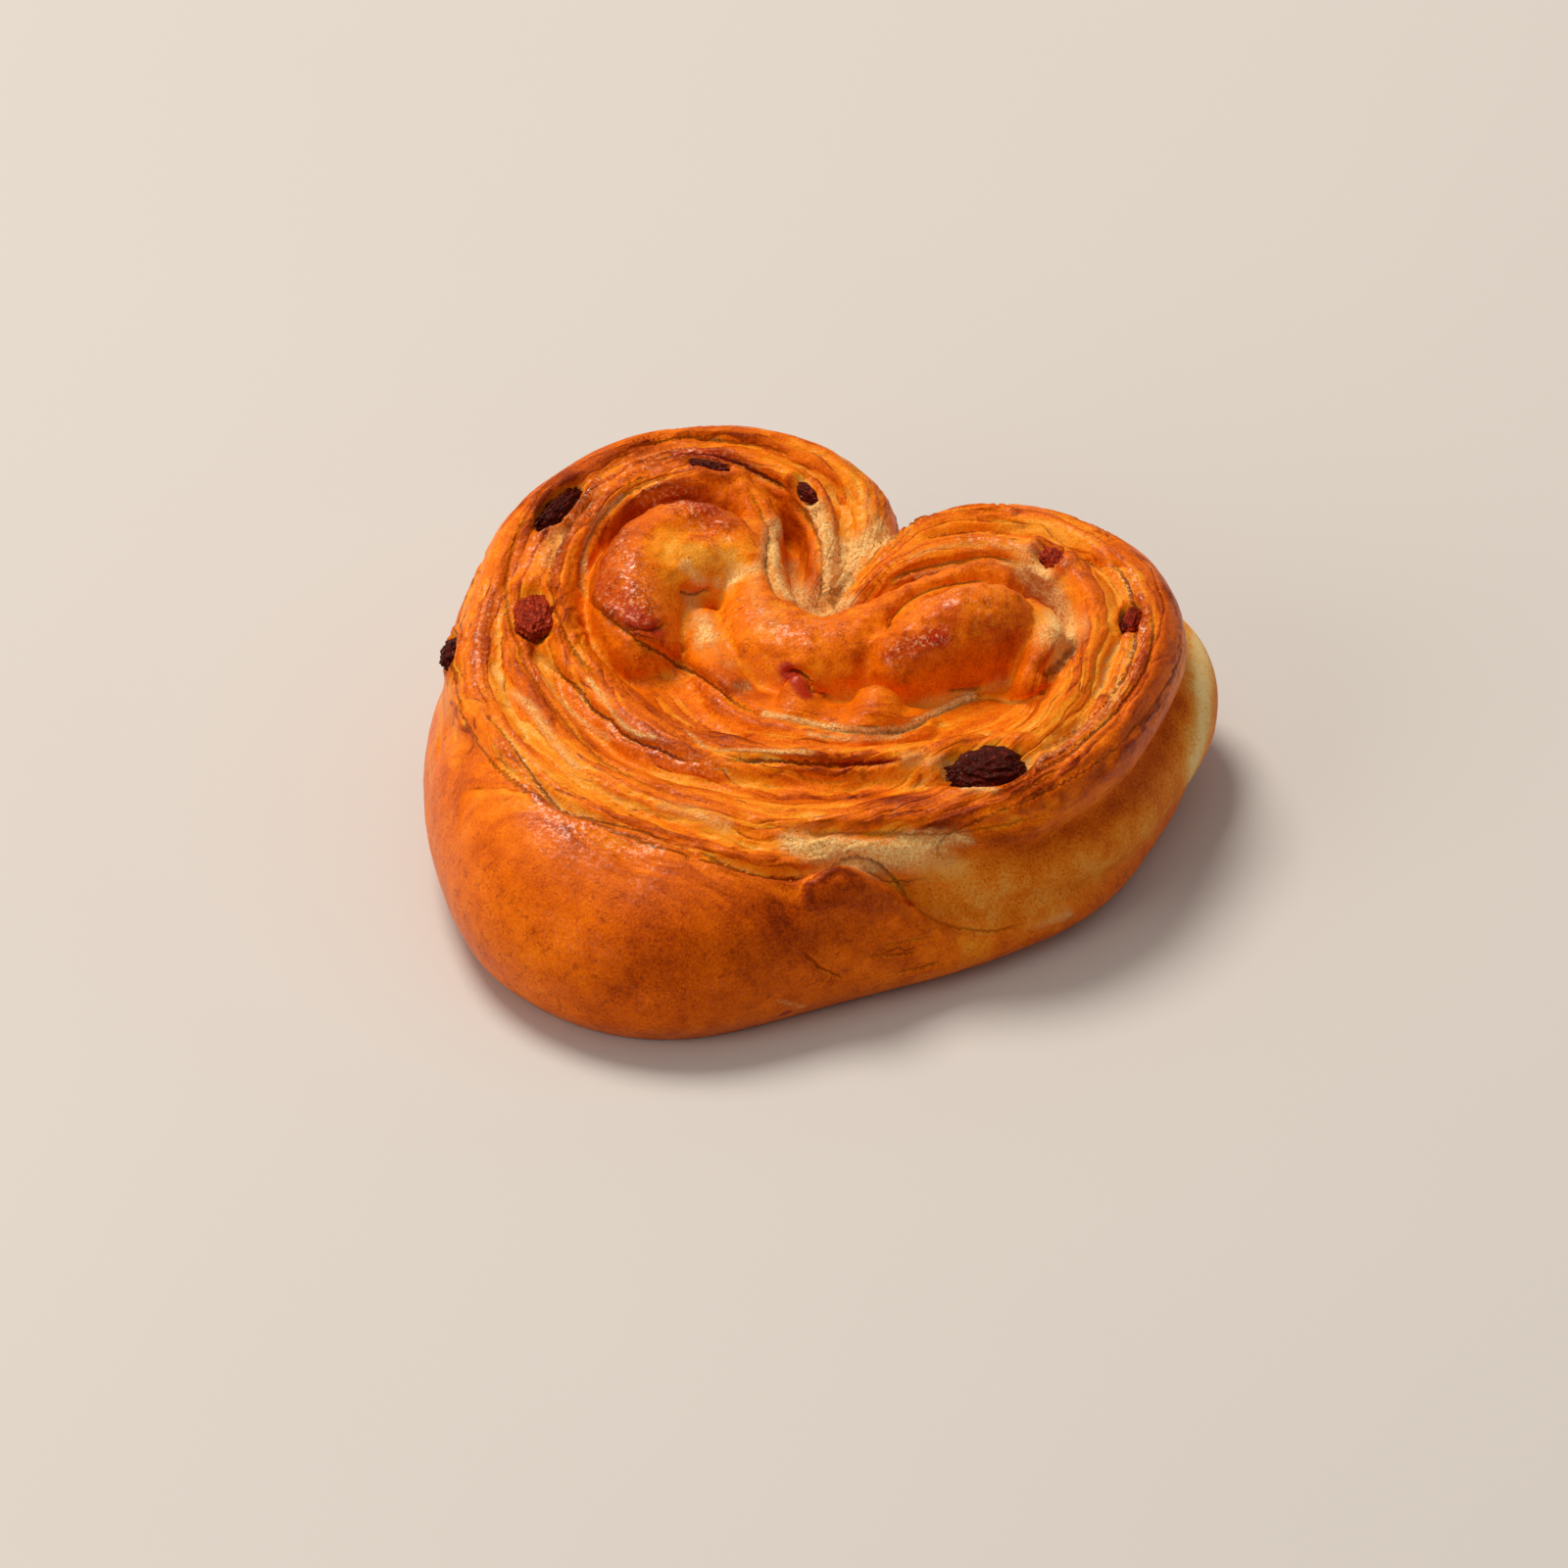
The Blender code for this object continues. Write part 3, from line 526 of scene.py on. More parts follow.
def spline(rows, places, closed=False):
    """Catmull-Rom curve through rows, read at places, where place 2.5 lies halfway from row 2 to row 3."""
    rows = np.asarray(rows, float)
    count = len(rows)
    i = np.minimum(np.asarray(places).astype(int), count - 1 if closed else count - 2)
    t = (places - i)[:, None]
    near = [i + k for k in (-1, 0, 1, 2)]
    p0, p1, p2, p3 = (rows[n % count if closed else np.clip(n, 0, count - 1)] for n in near)
    square, cube = 2 * p0 - 5 * p1 + 4 * p2 - p3, 3 * p1 - p0 - 3 * p2 + p3
    return (2 * p1 + (p2 - p0) * t + square * t**2 + cube * t**3) / 2


def resampled(rows, steps):
    return spline(rows, np.linspace(0, len(rows) - 1, steps))


def left_of(ahead):
    """Unit vectors in plan, a quarter turn to the left of each direction."""
    side = np.stack([-ahead[:, 1], ahead[:, 0]], axis=1)
    return side / np.linalg.norm(side, axis=1)[:, None]


def loft(shape, rings):
    """A closed skin through rings of points, one after another, with a face over each end."""
    loops = [[shape.verts.new(p) for p in ring] for ring in rings]
    sides = len(loops[0])
    for low, high in zip(loops, loops[1:]):
        for s in range(sides):
            shape.faces.new((low[s], low[(s + 1) % sides], high[(s + 1) % sides], high[s]))
    shape.faces.new(loops[0][::-1])
    shape.faces.new(loops[-1])


def loaf(shape, steps=220):
    """The body of the bun: the heart's outline, inset at each height as WALL says, up to a level crown."""
    edge = spline(OUTLINE, np.linspace(0, len(OUTLINE), steps, endpoint=False), closed=True)
    plan, shoulder, lean = edge[:, :2], edge[:, 2:3] * SHOULDER_HEIGHT, edge[:, 3:4]
    inward = left_of(np.roll(plan, -1, axis=0) - np.roll(plan, 1, axis=0))
    rings = []
    for inset, share in resampled(WALL, 3 * len(WALL)):
        slope = lean if share > LEANING_FROM else 1.0
        rings.append(np.hstack([plan + inward * inset * slope, shoulder * share]))
    crown = plan + inward * CROWN_INSET * np.maximum(lean, 1.0)
    rings.append(np.hstack([crown, np.full((steps, 1), CROWN_HEIGHT)]))
    loft(shape, rings)


def strand(shape, route, half_widths, half_heights):
    """A length of dough with an elliptical section, its crest on route and its ends rounded off."""
    side = left_of(np.gradient(route[:, :2], axis=0))
    turn = np.linspace(0, 2 * math.pi, STRAND_SIDES, endpoint=False)
    number = np.arange(len(route))
    from_end = np.minimum(np.minimum(number, number[::-1]) / STRAND_ROUNDED, 1)
    swell = STRAND_BLUNT + (1 - STRAND_BLUNT) * np.sqrt(1 - (1 - from_end) ** 2)
    rings = []
    for at, across, wide, high, full in zip(route, side, half_widths, half_heights, swell):
        out = np.cos(turn)[:, None] * across * wide * full
        up = at[2] - high + np.sin(turn)[:, None] * high * full
        rings.append(np.hstack([at[:2] + out, up]))
    loft(shape, rings)


def coil_route(rows, steps=120):
    """A coil's crest line between RIM and WELL, with its half widths and half heights."""
    station, share, drop, half_widths, half_heights = resampled(rows, steps).T
    route = spline(RIM, station) * (1 - share[:, None]) + spline(WELL, station) * share[:, None]
    route[:, 2] -= drop
    return route, half_widths, half_heights


def nearest_on(route, points, reach):
    """For points within reach of a route: their numbers, the vector from the route, its direction there,
    the distance and the share of the route's length passed."""
    low, high = route.min(0) - reach, route.max(0) + reach
    picked = np.flatnonzero(((points > low) & (points < high)).all(1))
    near = points[picked]
    best, share = np.full(len(near), np.inf), np.zeros(len(near))
    gap, ahead = np.zeros_like(near), np.zeros_like(near)
    for k, (start, step) in enumerate(zip(route[:-1], np.diff(route, axis=0))):
        length = np.linalg.norm(step)
        if length < 1e-6:
            continue
        t = np.clip((near - start) @ step / length**2, 0, 1)
        away = near - start - t[:, None] * step
        distance = (away**2).sum(1)
        closer = distance < best
        best[closer], share[closer] = distance[closer], (k + t[closer]) / (len(route) - 1)
        gap[closer], ahead[closer] = away[closer], step / length
    within = best < reach**2
    return picked[within], gap[within], ahead[within], np.sqrt(best[within]), share[within]


def smooth(value, low, high):
    t = np.clip((value - low) / (high - low), 0, 1)
    return t * t * (3 - 2 * t)


# ---- the picture's view


def view_axes():
    """Unit vectors of the picture: to its right, up, and towards the camera."""
    right = Vector((math.cos(AZIMUTH), math.sin(AZIMUTH), 0.0))
    level = math.cos(ELEVATION)
    back = Vector((math.sin(AZIMUTH) * level, -math.cos(AZIMUTH) * level, math.sin(ELEVATION)))
    return right, back.cross(right), back


def laid_on(tree, pixels, step=5.0):
    """The route over the dough that shows at these places of the picture."""
    right, up, back = view_axes()
    pixels = np.reshape(pixels, (-1, 2)).astype(float)
    steps = int(np.linalg.norm(np.diff(pixels, axis=0), axis=1).sum() / step) + 2
    route = []
    for x, y in resampled(pixels, steps):
        start = (right * (x - ORIGIN_PIXEL[0]) + up * (ORIGIN_PIXEL[1] - y)) * PIXEL + back * RAY_START
        hit = tree.ray_cast(start, -back)[0]
        if hit is not None:
            route.append(hit)
    return np.array(route, float).reshape(-1, 3)


# ---- the dough


def object_of(name, mesh):
    made = bpy.data.objects.new(name, mesh)
    bpy.context.scene.collection.objects.link(made)
    return made


def applied(made, name):
    """The object's mesh with its modifiers applied, as a plain mesh."""
    view = bpy.context.evaluated_depsgraph_get()
    mesh = bpy.data.meshes.new_from_object(made.evaluated_get(view), depsgraph=view)
    mesh.name = name
    made.modifiers.clear()
    return mesh


def fused_dough():
    """Loaf, coils and folds fused into one fine skin, softened and cut level at the base."""
    shape = bmesh.new()
    loaf(shape)
    for rows in COILS.values():
        strand(shape, *coil_route(rows))
    for rows in FOLDS.values():
        rows = resampled(rows, 48)
        strand(shape, rows[:, :3], rows[:, 3], rows[:, 4])
    bmesh.ops.recalc_face_normals(shape, faces=shape.faces)
    rough = bpy.data.meshes.new("dough")
    shape.to_mesh(rough)
    shape.free()
    made = object_of("dough", rough)
    fuse = made.modifiers.new("fuse", "REMESH")
    fuse.mode, fuse.voxel_size = "VOXEL", VOXEL
    soften = made.modifiers.new("soften", "SMOOTH")
    soften.factor, soften.iterations = 0.5, SOFTENING
    mesh = applied(made, "dough")
    bpy.data.objects.remove(made)

    shape = bmesh.new()
    shape.from_mesh(mesh)
    everything = shape.verts[:] + shape.edges[:] + shape.faces[:]
    bmesh.ops.bisect_plane(shape, geom=everything, plane_co=(0, 0, 0), plane_no=(0, 0, 1), clear_inner=True)
    edge = [e for e in shape.edges if e.is_boundary]
    base = bmesh.ops.contextual_create(shape, geom=edge)["faces"]
    bmesh.ops.recalc_face_normals(shape, faces=shape.faces)
    for face in shape.faces:
        face.smooth = True
    for face in base:
        face.smooth = False
    for e in edge:
        e.smooth = False
    shape.to_mesh(mesh)
    shape.free()
    return mesh


def read_out(items, name, kind=np.float32, wide=1):
    """A property of a mesh's vertices, loops or faces as an array."""
    flat = np.empty(len(items) * wide, kind)
    items.foreach_get(name, flat)
    return flat


def places_of(mesh):
    return read_out(mesh.vertices, "co", wide=3).reshape(-1, 3).astype(float)


def place(mesh, points):
    mesh.vertices.foreach_set("co", points.astype(np.float32).ravel())
    mesh.update()


def keep(mesh, name, values):
    """Keeps a number or a vector for each vertex under a name that the materials read."""
    kind, key = ("FLOAT_VECTOR", "vector") if values.ndim == 2 else ("FLOAT", "value")
    made = mesh.attributes.new(name, kind, "POINT")
    made.data.foreach_set(key, values.astype(np.float32).ravel())


def grain(points):
    """Along and across the coils at each point, in millimetres: fibres of the dough run along them."""
    stations, shares = np.linspace(0, len(RIM) - 1.001, 640), np.linspace(-0.9, 1.9, 57)
    rim, well = spline(RIM, stations)[:, :2], spline(WELL, stations)[:, :2]
    steps = np.linalg.norm(np.diff(rim * 0.6 + well * 0.4, axis=0), axis=1)
    passed = np.concatenate([[0], np.cumsum(steps)])
    wide = np.linalg.norm(well - rim, axis=1)
    grid = rim[:, None] * (1 - shares[None, :, None]) + well[:, None] * shares[None, :, None]
    count = len(stations), len(shares)
    tree = KDTree(count[0] * count[1])
    for k, (x, y) in enumerate(grid.reshape(-1, 2)):
        tree.insert((x, y, 0.0), k)
    tree.balance()
    found = np.array([tree.find((x, y, 0.0))[1] for x, y in points[:, :2]])
    s, t = found // count[1], found % count[1]
    s, t = np.clip(s, 1, count[0] - 2), np.clip(t, 1, count[1] - 2)
    by_s, by_t = (grid[s + 1, t] - grid[s - 1, t]) / 2, (grid[s, t + 1] - grid[s, t - 1]) / 2
    off = points[:, :2] - grid[s, t]

    def area(a, b):
        return a[:, 0] * b[:, 1] - a[:, 1] * b[:, 0]

    cell = area(by_s, by_t)
    cell = np.where(np.abs(cell) < 1e-3, 1e-3, cell)
    ds, dt = np.clip(area(off, by_t) / cell, -1, 1), np.clip(area(by_s, off) / cell, -1, 1)
    share = shares[0] + (t + dt) * (shares[1] - shares[0])
    along = np.interp(s + ds, np.arange(count[0]), passed)
    across = share * np.interp(s + ds, np.arange(count[0]), wide)
    return along, across, share


def painted(tree, points, table):
    """The sum of a table's soft strokes at each point."""
    total = np.zeros(len(points))
    for half_width, amount, *pixels in table.values():
        route = laid_on(tree, pixels)
        if len(route) < 2:
            continue
        picked, _, _, distance, _ = nearest_on(route, points, 2.5 * half_width)
        total[picked] += amount * np.exp(-((distance / half_width) ** 2))
    return total


def creased(tree, points, normals):
    """How far each point moves along its normal for the creases, and the crack lines for the materials:
    the distance to the middle of the nearest one, which changes sign over it, and its darkness, partly the
    crack's own colour and partly painted shade in the crease."""
    offset, line, dark = np.zeros(len(points)), np.full(len(points), 3.0), np.zeros(len(points))
    nearest = np.full(len(points), 9.0)
    for half_width, depth, left, right, darkness, *pixels in CREASES.values():
        route = laid_on(tree, pixels, 4.0)
        if len(route) < 3:
            continue
        route[1:-1] = (route[:-2] + 2 * route[1:-1] + route[2:]) / 4
        picked, gap, ahead, distance, share = nearest_on(route, points, 6 * half_width)
        side = np.sign((np.cross(ahead, gap) * normals[picked]).sum(1))
        taper = smooth(share, 0, CREASE_FADE) * smooth(1 - share, 0, CREASE_FADE)
        bank = np.where(side > 0, left, right) * np.exp(-((distance / (3 * half_width)) ** 2))
        valley = depth * np.exp(-((distance / half_width) ** 2))
        change = (bank * smooth(distance, 0, 1.2 * half_width) - valley) * taper
        offset[picked] = np.where(np.abs(change) > np.abs(offset[picked]), change, offset[picked])
        closer = distance < nearest[picked]
        chosen = picked[closer]
        nearest[chosen] = distance[closer]
        line[chosen] = (side * distance)[closer]
        dark[chosen] = (darkness * taper * (1 - smooth(distance, 0.9, 1.6)))[closer]
    return offset, line, dark


def domes(points):
    """1 on the blistered backs of the two curls and the bridge between them, 0 away from them."""
    total = np.zeros(len(points))
    for name in ("left_curl", "right_curl", "bridge"):
        rows = resampled(FOLDS[name], 40)
        picked, _, _, distance, _ = nearest_on(rows[:, :3], points, 10.0)
        total[picked] = np.maximum(total[picked], 1 - smooth(distance, 6.0, 10.0))
    return total


def roll_side(points):
    """1 on the end of the lower roll behind the right-hand curl, where the picture doesn't reach."""
    route = coil_route(COILS["lower"], 90)[0][60:] - (0, 0, 5.0)
    picked, _, _, distance, share = nearest_on(route, points, 13.0)
    below = smooth(19.5 - points[picked, 2], 0.0, 4.0)
    total = np.zeros(len(points))
    total[picked] = (1 - smooth(distance, 7.0, 12.0)) * (1 - smooth(share, 0.6, 1.0)) * below
    return total


def pocketed(points):
    """How far the dough sinks under each raisin and lifts in a lip round it."""
    offset = np.zeros(len(points))
    for x, y, z, length, width, height, heading, _, _ in RAISINS.values():
        turn = math.radians(heading)
        across, along, up = (points - (x, y, z)).T
        ahead = across * math.cos(turn) + along * math.sin(turn)
        aside = along * math.cos(turn) - across * math.sin(turn)
        local = np.stack([ahead, aside, up], axis=1)
        reach = np.linalg.norm(local / (length / 2, width / 2, height / 2), axis=1)
        offset -= POCKET_DEPTH * (1 - smooth(reach, 0.8, 1.05))
        offset += LIP_HEIGHT * np.exp(-(((reach - 1.22) / 0.2) ** 2))
    return offset


def relief_tree():
    """Geometry nodes for the crust's fine relief: fibres along the coils, torn crumb and blisters."""
    g, given = group("crust relief", {**dict.fromkeys(RELIEF, "Float"), "Crust": "Material"})

    def read(name, kind="FLOAT"):
        return g.node("GeometryNodeInputNamedAttribute", {"data_type": kind}, {"Name": name})

    lay, crumb, torn, dome = read("grain", "FLOAT_VECTOR"), read("crumb"), read("torn"), read("dome")
    seed = given["Seed"]
    shift = g.node("ShaderNodeCombineXYZ", None, {0: seed, 1: seed, 2: seed})
    here = g.node("GeometryNodeInputPosition")
    moved_on = g.joined("ADD", here, shift)
    lay = g.joined("ADD", g.joined("ADD", lay, shift), g.wander(moved_on, 0.07, 2.0, 0.5, (9.0, 4.0, 0.0)))

    patch = g.noise(moved_on, 0.13, 1.0).step(0.38, 0.62)
    strands = g.noise(lay.times(0.028, 0.36, 0.1), 1.0, 2.0) - 0.5
    fibres = (g.noise(lay.times(0.04, 0.62, 0.1), 1.0, 2.0, 0.6) - 0.5).size().step(0.0, 0.07)
    flakes = g.cells(lay.times(0.05, 0.42, 0.2), 1.0, "F1", 1)
    pores = g.noise(moved_on, 1.1, 3.0, 0.65) - 0.5
    blisters = g.noise(moved_on, 0.42, 2.0).step(0.45, 0.7)
    lumps = g.noise(moved_on, 0.10, 2.0) - 0.5
    height = (
        strands * given["Strand depth"] * torn * (patch * 0.7 + 0.3)
        + (fibres - 1.0) * given["Fibre depth"] * torn * (patch + 0.3)
        + (flakes - 0.5) * given["Flake depth"] * torn * (patch + 0.2)
        + pores * given["Crumb depth"] * (crumb.clamped() + 0.04)
        + blisters * given["Blister depth"] * dome
        + lumps * (dome * 0.5 + 0.5)
    )
    low = g.node("ShaderNodeSeparateXYZ", None, {0: here}, 2)
    normal = g.node("GeometryNodeInputNormal")
    push = normal.scaled(height * low.step(0.2, 3.0))
    moved = g.node("GeometryNodeSetPosition", None, {"Geometry": given["Geometry"], "Offset": push})

    after = g.node("GeometryNodeInputPosition")
    sockets = {"Value": after, "Iterations": RELIEF_OVER}
    even = g.node("GeometryNodeBlurAttribute", {"data_type": "FLOAT_VECTOR"}, sockets)
    crest = g.joined("DOT_PRODUCT", g.joined("SUBTRACT", after, even), normal, "Value")
    return finish_group(g, g.stored(moved, "crest", crest), given["Crust"])


def with_nodes(made, tree, values):
    """Puts a geometry node tree on an object, with the values of its named inputs."""
    modifier = made.modifiers.new(tree.name, "NODES")
    modifier.node_group = tree
    named = {s.name: s.identifier for s in tree.interface.items_tree if s.in_out == "INPUT"}
    for name, value in values.items():
        modifier[named[name]] = value


def fitted(points, node):
    """Points drawn in where they stand out of a CAD node's box, each axis about the box's middle.
    The second value is the box's upper corner."""
    low, high = (np.array(corner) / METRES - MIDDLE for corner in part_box(node))
    middle = (low + high) / 2
    over = np.maximum((points.max(0) - middle) / (high - middle), (middle - points.min(0)) / (middle - low))
    return middle + (points - middle) / np.maximum(over, 1.0), high


def dough(crust):
    """The bun's dough in one piece, with its creases, torn crumb and browning, and the painted shade and
    painted highlights that its tables hold.
    """
    mesh = fused_dough()
    points = places_of(mesh)
    normals = read_out(mesh.vertex_normals, "vector", wide=3).reshape(-1, 3).astype(float)
    corners = read_out(mesh.loops, "vertex_index", np.int32)
    starts = read_out(mesh.polygons, "loop_start", np.int32)
    faces = [part.tolist() for part in np.split(corners, starts[1:])]
    tree = BVHTree.FromPolygons([tuple(p) for p in points], faces)

    along, across, share = grain(points)
    skin = smooth(-share, 0.1, 0.5) * smooth(30 - points[:, 2], 2, 7)
    dome = domes(points)
    offset, line, dark = creased(tree, points, normals)
    offset += pocketed(points)
    rise = smooth(points[:, 2], 0.2, 3.0)
    place(mesh, points + normals * (offset * rise)[:, None])

    bulge = np.maximum(smooth(painted(tree, points, BULGE), 0.15, 0.9), roll_side(points))
    inside = smooth(share, 1.05, 1.4)
    kept = {
        "grain": np.stack([along, across - points[:, 2] * (skin > 0.01), points[:, 2] * 0.2], axis=1),
        "torn": (1 - 0.95 * skin) * (1 - 0.85 * dome) * (1 - 0.9 * bulge) * (1 - 0.8 * inside),
        "bulge": bulge,
        "dome": dome,
        "skin": skin,
        "crumb": painted(tree, points, CRUMB_AND_PAINTED_HIGHLIGHT),
        "ruddy": painted(tree, points, RUDDY),
        "baked": painted(tree, points, BROWNING_AND_PAINTED_LIGHT),
        "shine": painted(tree, points, SHINE),
        "line": line,
        "dark": dark,
    }
    for name, values in kept.items():
        keep(mesh, name, values)

    made = object_of("bun_dough", mesh)
    with_nodes(made, relief_tree(), {**RELIEF, "Crust": crust})
    finished = applied(made, "bun_dough")
    made.data = finished
    points = places_of(finished)
    drawn, high = fitted(points, "bun")
    drawn[:, 2] = np.clip(points[:, 2] * (high[2] / max(high[2], points[:, 2].max())), 0, None)
    place(finished, (drawn + MIDDLE) * METRES)
    return made


# ---- raisins


def raisin_tree():
    """Geometry nodes for one raisin: a ball drawn out to its sizes and shrivelled along its length."""
    numbers = ("Length", "Width", "Height", "Fold depth", "Seed", "Heading", "Russet")
    g, given = group("raisin", {**dict.fromkeys(numbers, "Float"), "Middle": "Vector", "Skin": "Material"})
    ball = g.node("GeometryNodeMeshIcoSphere", None, {"Radius": 1.0, "Subdivisions": 6})
    here = g.node("GeometryNodeInputPosition")
    seed = given["Seed"]
    shift = g.node("ShaderNodeCombineXYZ", None, {0: seed, 1: seed * 1.7, 2: seed * 2.3})
    lay = g.joined("ADD", here.times(0.75, 1.5, 1.5), shift)
    folds = (g.noise(lay, 1.5, 2.0, 0.5) - 0.5).size() * 5.0
    fine = (g.noise(lay.times(1.2, 2.2, 2.2), 2.4, 2.0, 0.5) - 0.5).size() * 4.0
    depth = given["Fold depth"]
    share = 1.0 - depth * (1.0 - folds.clamped()) - depth * 0.35 * (1.0 - fine.clamped())
    halves = {axis: given[name] * 0.5 for axis, name in enumerate(("Length", "Width", "Height"))}
    drawn = g.joined("MULTIPLY", here, g.node("ShaderNodeCombineXYZ", None, halves)).scaled(share)
    shaped = g.node("GeometryNodeSetPosition", None, {"Geometry": ball, "Position": drawn})
    marked = g.stored(g.stored(shaped, "fold", folds.clamped()), "russet", given["Russet"])
    turn = g.node("ShaderNodeCombineXYZ", None, {2: given["Heading"]})
    sockets = {"Geometry": marked, "Translation": given["Middle"], "Rotation": turn}
    laid = g.node("GeometryNodeTransform", None, sockets)
    return finish_group(g, g.node("GeometryNodeSetShadeSmooth", None, {"Geometry": laid}), given["Skin"])


def raisin(name, tree, seed, skin):
    """A shrivelled raisin in the place of a CAD one, kept inside its box."""
    x, y, z, length, width, height, heading, sunk, russet = RAISINS[name]
    z -= sunk * height
    made = object_of(name + "_wrinkled", bpy.data.meshes.new(name))
    values = {
        "Length": length,
        "Width": width,
        "Height": height,
        "Fold depth": 0.2,
        "Seed": seed,
        "Heading": math.radians(heading),
        "Russet": russet,
        "Middle": (x, y, z),
        "Skin": skin,
    }
    with_nodes(made, tree, values)
    made.data = applied(made, name + "_wrinkled")
    drawn, _ = fitted(places_of(made.data), name)
    place(made.data, (drawn + MIDDLE) * METRES)
    return made


# ---- materials

# Ramps from pale to dark, or from dark to light for a raisin: (place, red, green, blue)
CRUST = [
    (0, 246, 186, 104), (0.18, 242, 160, 52), (0.34, 240, 138, 20), (0.5, 234, 112, 5), (0.66, 208, 90, 2),
    (0.84, 170, 64, 1), (1, 120, 34, 1),
]
SOFT_SIDE = [
    (0, 244, 212, 144), (0.25, 238, 168, 74), (0.5, 230, 126, 22), (0.75, 204, 92, 4), (1, 158, 60, 2),
]
RAISIN_SKIN = [(0, 30, 2, 1), (0.4, 78, 8, 2), (0.7, 150, 34, 5), (1, 205, 78, 18)]

TORN, TORN_SHADE = srgb(255, 212, 142), srgb(234, 152, 64)
# The second colour on the next line is a pale painted highlight: glints on the shiny crackled glaze
CAUGHT_GLAZE, PAINTED_GLINT = srgb(172, 38, 2), srgb(252, 180, 124)
# The second colour on the next line is the dark of cracks, partly painted shade where it darkens the long
# creases
FLECK, CRACK_AND_CREASE_SHADE = srgb(130, 42, 2), srgb(116, 20, 2)
FLOOR = srgb(198, 193, 190), srgb(201, 196, 193)


def material(name):
    made = bpy.data.materials.new(name)
    made.use_nodes = True
    made.node_tree.nodes.clear()
    return made, Graph(made.node_tree)


def finish_material(g, sockets):
    shader = g.node("ShaderNodeBsdfPrincipled", None, sockets)
    g.node("ShaderNodeOutputMaterial", None, {"Surface": shader})


def in_millimetres(g):
    return g.node("ShaderNodeTexCoord", None, None, "Object").times(1000, 1000, 1000)


def crust_material():
    """Glazed crust that runs from pale torn crumb through golden orange to red-brown, with painted shade in
    its creases and pale painted glints on its crackled glaze.
    """
    made, g = material("glazed_crust")

    names = ("crumb", "ruddy", "baked", "skin", "bulge", "line", "dark", "crest", "torn", "dome")
    crumb, ruddy, baked, skin, bulge, line, dark, crest, torn, dome = map(g.kept, names)
    shine = g.kept("shine").clamped()
    here = in_millimetres(g)
    lay = g.joined("ADD", g.kept("grain", "Vector"), g.wander(here, 0.14, 1.0, 0.55, (9.0, 3.0, 0.0)))

    streaks = g.noise(lay.times(0.045, 0.42, 0.2), 1.0, 3.0, 0.62)
    fibres = g.noise(lay.times(0.10, 1.9, 0.5), 1.0, 2.0, 0.6)
    leaf = lay.times(0.045, 0.40, 0.2)
    flakes = g.cells(leaf, 1.0, "DISTANCE_TO_EDGE")
    plates = g.cells(leaf, 1.0, "F1", 1)
    mottle = g.noise(here, 0.22, 3.0, 0.6)
    speckle = g.noise(here, 2.2, 3.0, 0.75)
    craze = (g.noise(here, 0.55, 2.0, 0.6) - 0.5).size()
    sparse = g.noise(here, 0.30, 2.0).step(0.48, 0.66)
    flecks = g.noise(here, 2.6, 2.0, 0.6).step(0.60, 0.70)
    crackle = g.noise(here, 1.5, 2.0, 0.75)
    frayed = g.joined("ADD", here, g.noise(here, 0.9, 2.0, 0.6, "Color").times(2.4, 2.4, 2.4))
    nicks = 1.0 - g.cells(frayed.times(0.30, 0.30, 0.45), 1.0, "DISTANCE_TO_EDGE").step(0.01, 0.05)
    nicks = nicks * g.noise(here, 0.6, 2.0).step(0.52, 0.60)

    plain_crust = 1.0 - bulge * 0.5
    # baked brings in the broad browning table, and with it its strokes of painted shade and painted highlight
    tone = (
        0.46
        + baked * plain_crust
        + skin * 0.06
        + (streaks - 0.5) * 0.9 * torn
        + (plates - 0.5) * 0.40 * torn
        + (fibres - 0.5) * 0.16 * torn
        + (mottle - 0.5) * 0.5
        + (speckle - 0.5) * 0.55
        + crest.most(-0.5).least(0.6) * 0.55
    )
    colour = g.ramp(tone, CRUST)

    # Paler places, then redder ones, then pale painted glints on the crackled glaze, a painted highlight
    patchy = (crumb + (speckle - 0.5) * 0.8 + (streaks - 0.5) * 1.2 * crumb.step(0.0, 0.3)).step(0.15, 1.05)
    soft = g.ramp(0.48 + baked + (mottle - 0.5) * 0.7 + (speckle - 0.5) * 0.8 + flecks * 0.2, SOFT_SIDE)
    colour = g.mix(bulge, colour, soft)
    pale = g.mix(speckle.step(0.34, 0.62), TORN_SHADE, TORN)
    colour = g.mix(patchy, colour, pale)
    caught = (ruddy + dome * 0.10 + (mottle - 0.5) * 0.7 + (speckle - 0.5) * 0.5).step(0.25, 1.1)
    colour = g.mix(caught, colour, CAUGHT_GLAZE)
    colour = g.mix(flecks * (0.5 - skin * 0.2), colour, FLECK)
    # Painted highlight: pale glints where the glaze is shiny and crackled
    colour = g.mix(crackle.step(0.53, 0.64) * shine * 0.6, colour, PAINTED_GLINT)

    # Cracks: the long creases, whose darkness is partly painted shade, the edges of flakes, fine crazing and
    # nicks
    jagged = line + (g.noise(here, 1.1, 2.0, 0.75) - 0.5) * 0.9
    crack_and_crease_shade = dark * (1.0 - jagged.size().step(0.05, 0.38))
    plain = 1.0 - crumb.step(0.1, 0.5).most(bulge)
    split = (1.0 - flakes.step(0.01, 0.05)) * torn * sparse * plain
    crazed = (1.0 - craze.step(0.004, 0.022)) * sparse * (dome * 0.8 + skin * 0.7 + 0.2) * plain
    nicked = nicks * (skin * 0.8 + dome * 0.5 + shine * 0.6).clamped() * plain
    broken = (crack_and_crease_shade * 0.95).most(split * 0.7).most(crazed * 0.6).most(nicked * 0.6)
    colour = g.mix(broken, colour, CRACK_AND_CREASE_SHADE)

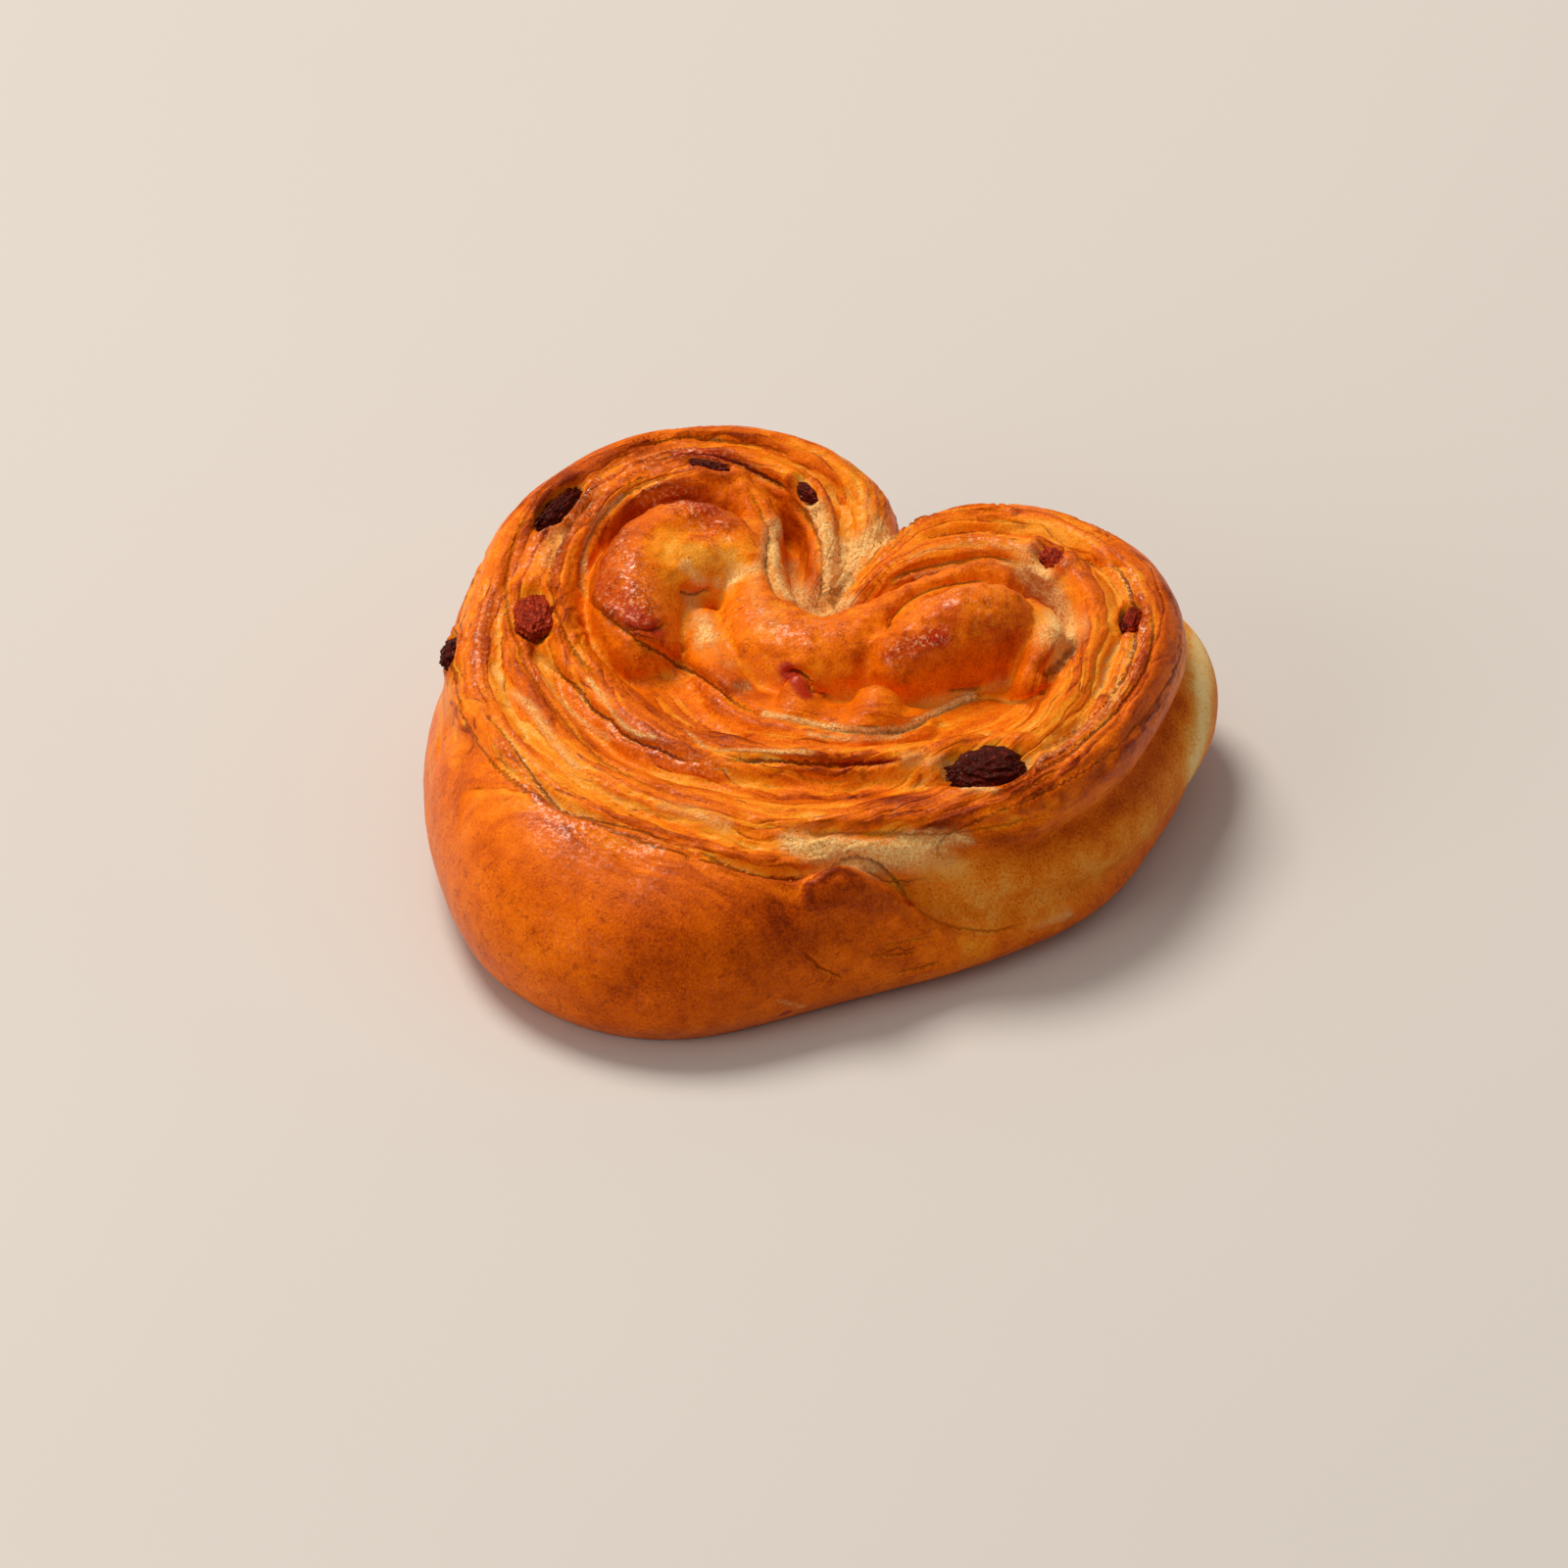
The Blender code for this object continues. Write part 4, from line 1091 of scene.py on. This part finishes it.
    dull = (patchy * 0.3).most(bulge * 0.3) + (speckle - 0.5) * 0.5 + crack_and_crease_shade * 0.45
    gloss = (0.34 + dull - caught * 0.1 - shine * 0.14).clamped()
    height = (
        streaks * 0.12 * torn
        + fibres * 0.10 * torn
        + plates * 0.10 * torn
        + speckle * (0.20 + patchy * 0.25 + bulge * 0.2)
        + crackle * shine * 0.35
        - crack_and_crease_shade * 0.35
        + flakes.step(0.0, 0.12) * 0.15 * torn
    )
    bump = g.node("ShaderNodeBump", None, {"Strength": 0.8, "Distance": 0.001, "Height": height})
    glaze = 0.02 + shine * crackle.step(0.42, 0.56) * 0.7 + crackle.step(0.52, 0.62) * 0.22 * plain
    glaze = (glaze + caught * 0.2 - patchy * 0.3 - crack_and_crease_shade * 0.4).clamped()
    sockets = {
        "Base Color": colour,
        "Roughness": gloss,
        "Normal": bump,
        "Specular IOR Level": 0.11,
        "Specular Tint": (1.0, 0.52, 0.20, 1.0),
        "Coat Weight": glaze,
        "Coat Roughness": 0.22,
        "Coat IOR": 1.4,
    }
    finish_material(g, sockets)
    return made


def raisin_material():
    """Raisin skin: near black in its folds, red-brown and shiny on its ridges."""
    made, g = material("raisin_skin")
    here = in_millimetres(g)
    mottle = g.noise(here, 0.9, 3.0, 0.6)
    grit = g.noise(here, 3.0, 3.0, 0.6)
    shade = g.kept("fold") * 0.35 + (mottle - 0.5) * 0.9 + g.kept("russet") * 0.5 + 0.12
    height = grit + mottle * 0.5
    sockets = {
        "Base Color": g.ramp(shade, RAISIN_SKIN),
        "Roughness": (0.22 + (grit - 0.5) * 0.4).clamped(),
        "Normal": g.node("ShaderNodeBump", None, {"Strength": 0.6, "Distance": 0.0005, "Height": height}),
        "Specular IOR Level": 0.13,
        "Specular Tint": (1.0, 0.5, 0.36, 1.0),
        "Coat Weight": grit.step(0.55, 0.68) * 0.5,
        "Coat Roughness": 0.15,
    }
    finish_material(g, sockets)
    return made


def floor_material():
    made, g = material("pale_floor")
    here = g.node("ShaderNodeTexCoord", None, None, "Object")
    tint = g.mix(g.noise(here, 8.0, 2.0, 0.5), *FLOOR)
    finish_material(g, {"Base Color": tint, "Roughness": 0.7})
    return made


# ---- studio


def area_light(name, stand, size, power):
    """A round soft lamp, turned to the bun."""
    lamp = bpy.data.lights.new(name, "AREA")
    lamp.shape, lamp.size, lamp.energy, lamp.color = "DISK", size, power, LAMP_COLOUR
    made = object_of(name, lamp)
    made.location = stand
    made.rotation_mode = "QUATERNION"
    made.rotation_quaternion = (Vector((0, 0, 0.02)) - Vector(stand)).to_track_quat("-Z", "Y")


def studio():
    """A pale floor, soft light from behind on the left, and the camera where the photographer stood."""
    shape = bmesh.new()
    bmesh.ops.create_grid(shape, x_segments=1, y_segments=1, size=3.0)
    mesh = bpy.data.meshes.new("floor")
    shape.to_mesh(mesh)
    shape.free()
    mesh.materials.append(floor_material())
    floor = object_of("floor", mesh)
    floor.location.z = -0.0002

    area_light("key", *KEY_LIGHT)
    area_light("fill", *FILL_LIGHT)
    world = bpy.data.worlds.new("studio")
    world.use_nodes = True
    sky = world.node_tree.nodes["Background"].inputs
    sky[0].default_value, sky[1].default_value = SKY_COLOUR, SKY_STRENGTH
    bpy.context.scene.world = world
    bpy.context.scene.view_settings.view_transform = "Standard"

    right, up, back = view_axes()
    eye = bpy.data.cameras.new("camera")
    eye.type, eye.ortho_scale = "ORTHO", PICTURE * PIXEL * METRES
    made = object_of("camera", eye)
    aside, above = PICTURE / 2 - ORIGIN_PIXEL[0], ORIGIN_PIXEL[1] - PICTURE / 2
    stand = Vector(MIDDLE) + (right * aside + up * above) * PIXEL + back * CAMERA_DISTANCE
    turn = Matrix((right, up, back)).transposed().to_4x4()
    made.matrix_world = Matrix.Translation(stand * METRES) @ turn
    bpy.context.scene.camera = made


def main():
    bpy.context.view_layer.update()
    studio()
    bun = dough(crust_material())
    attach(bun, "root")
    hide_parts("bun")
    tree, skin = raisin_tree(), raisin_material()
    for seed, name in enumerate(RAISINS):
        piece = raisin(name, tree, 3.0 + 5.0 * seed, skin)
        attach(piece, "root")
        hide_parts(name)


main()
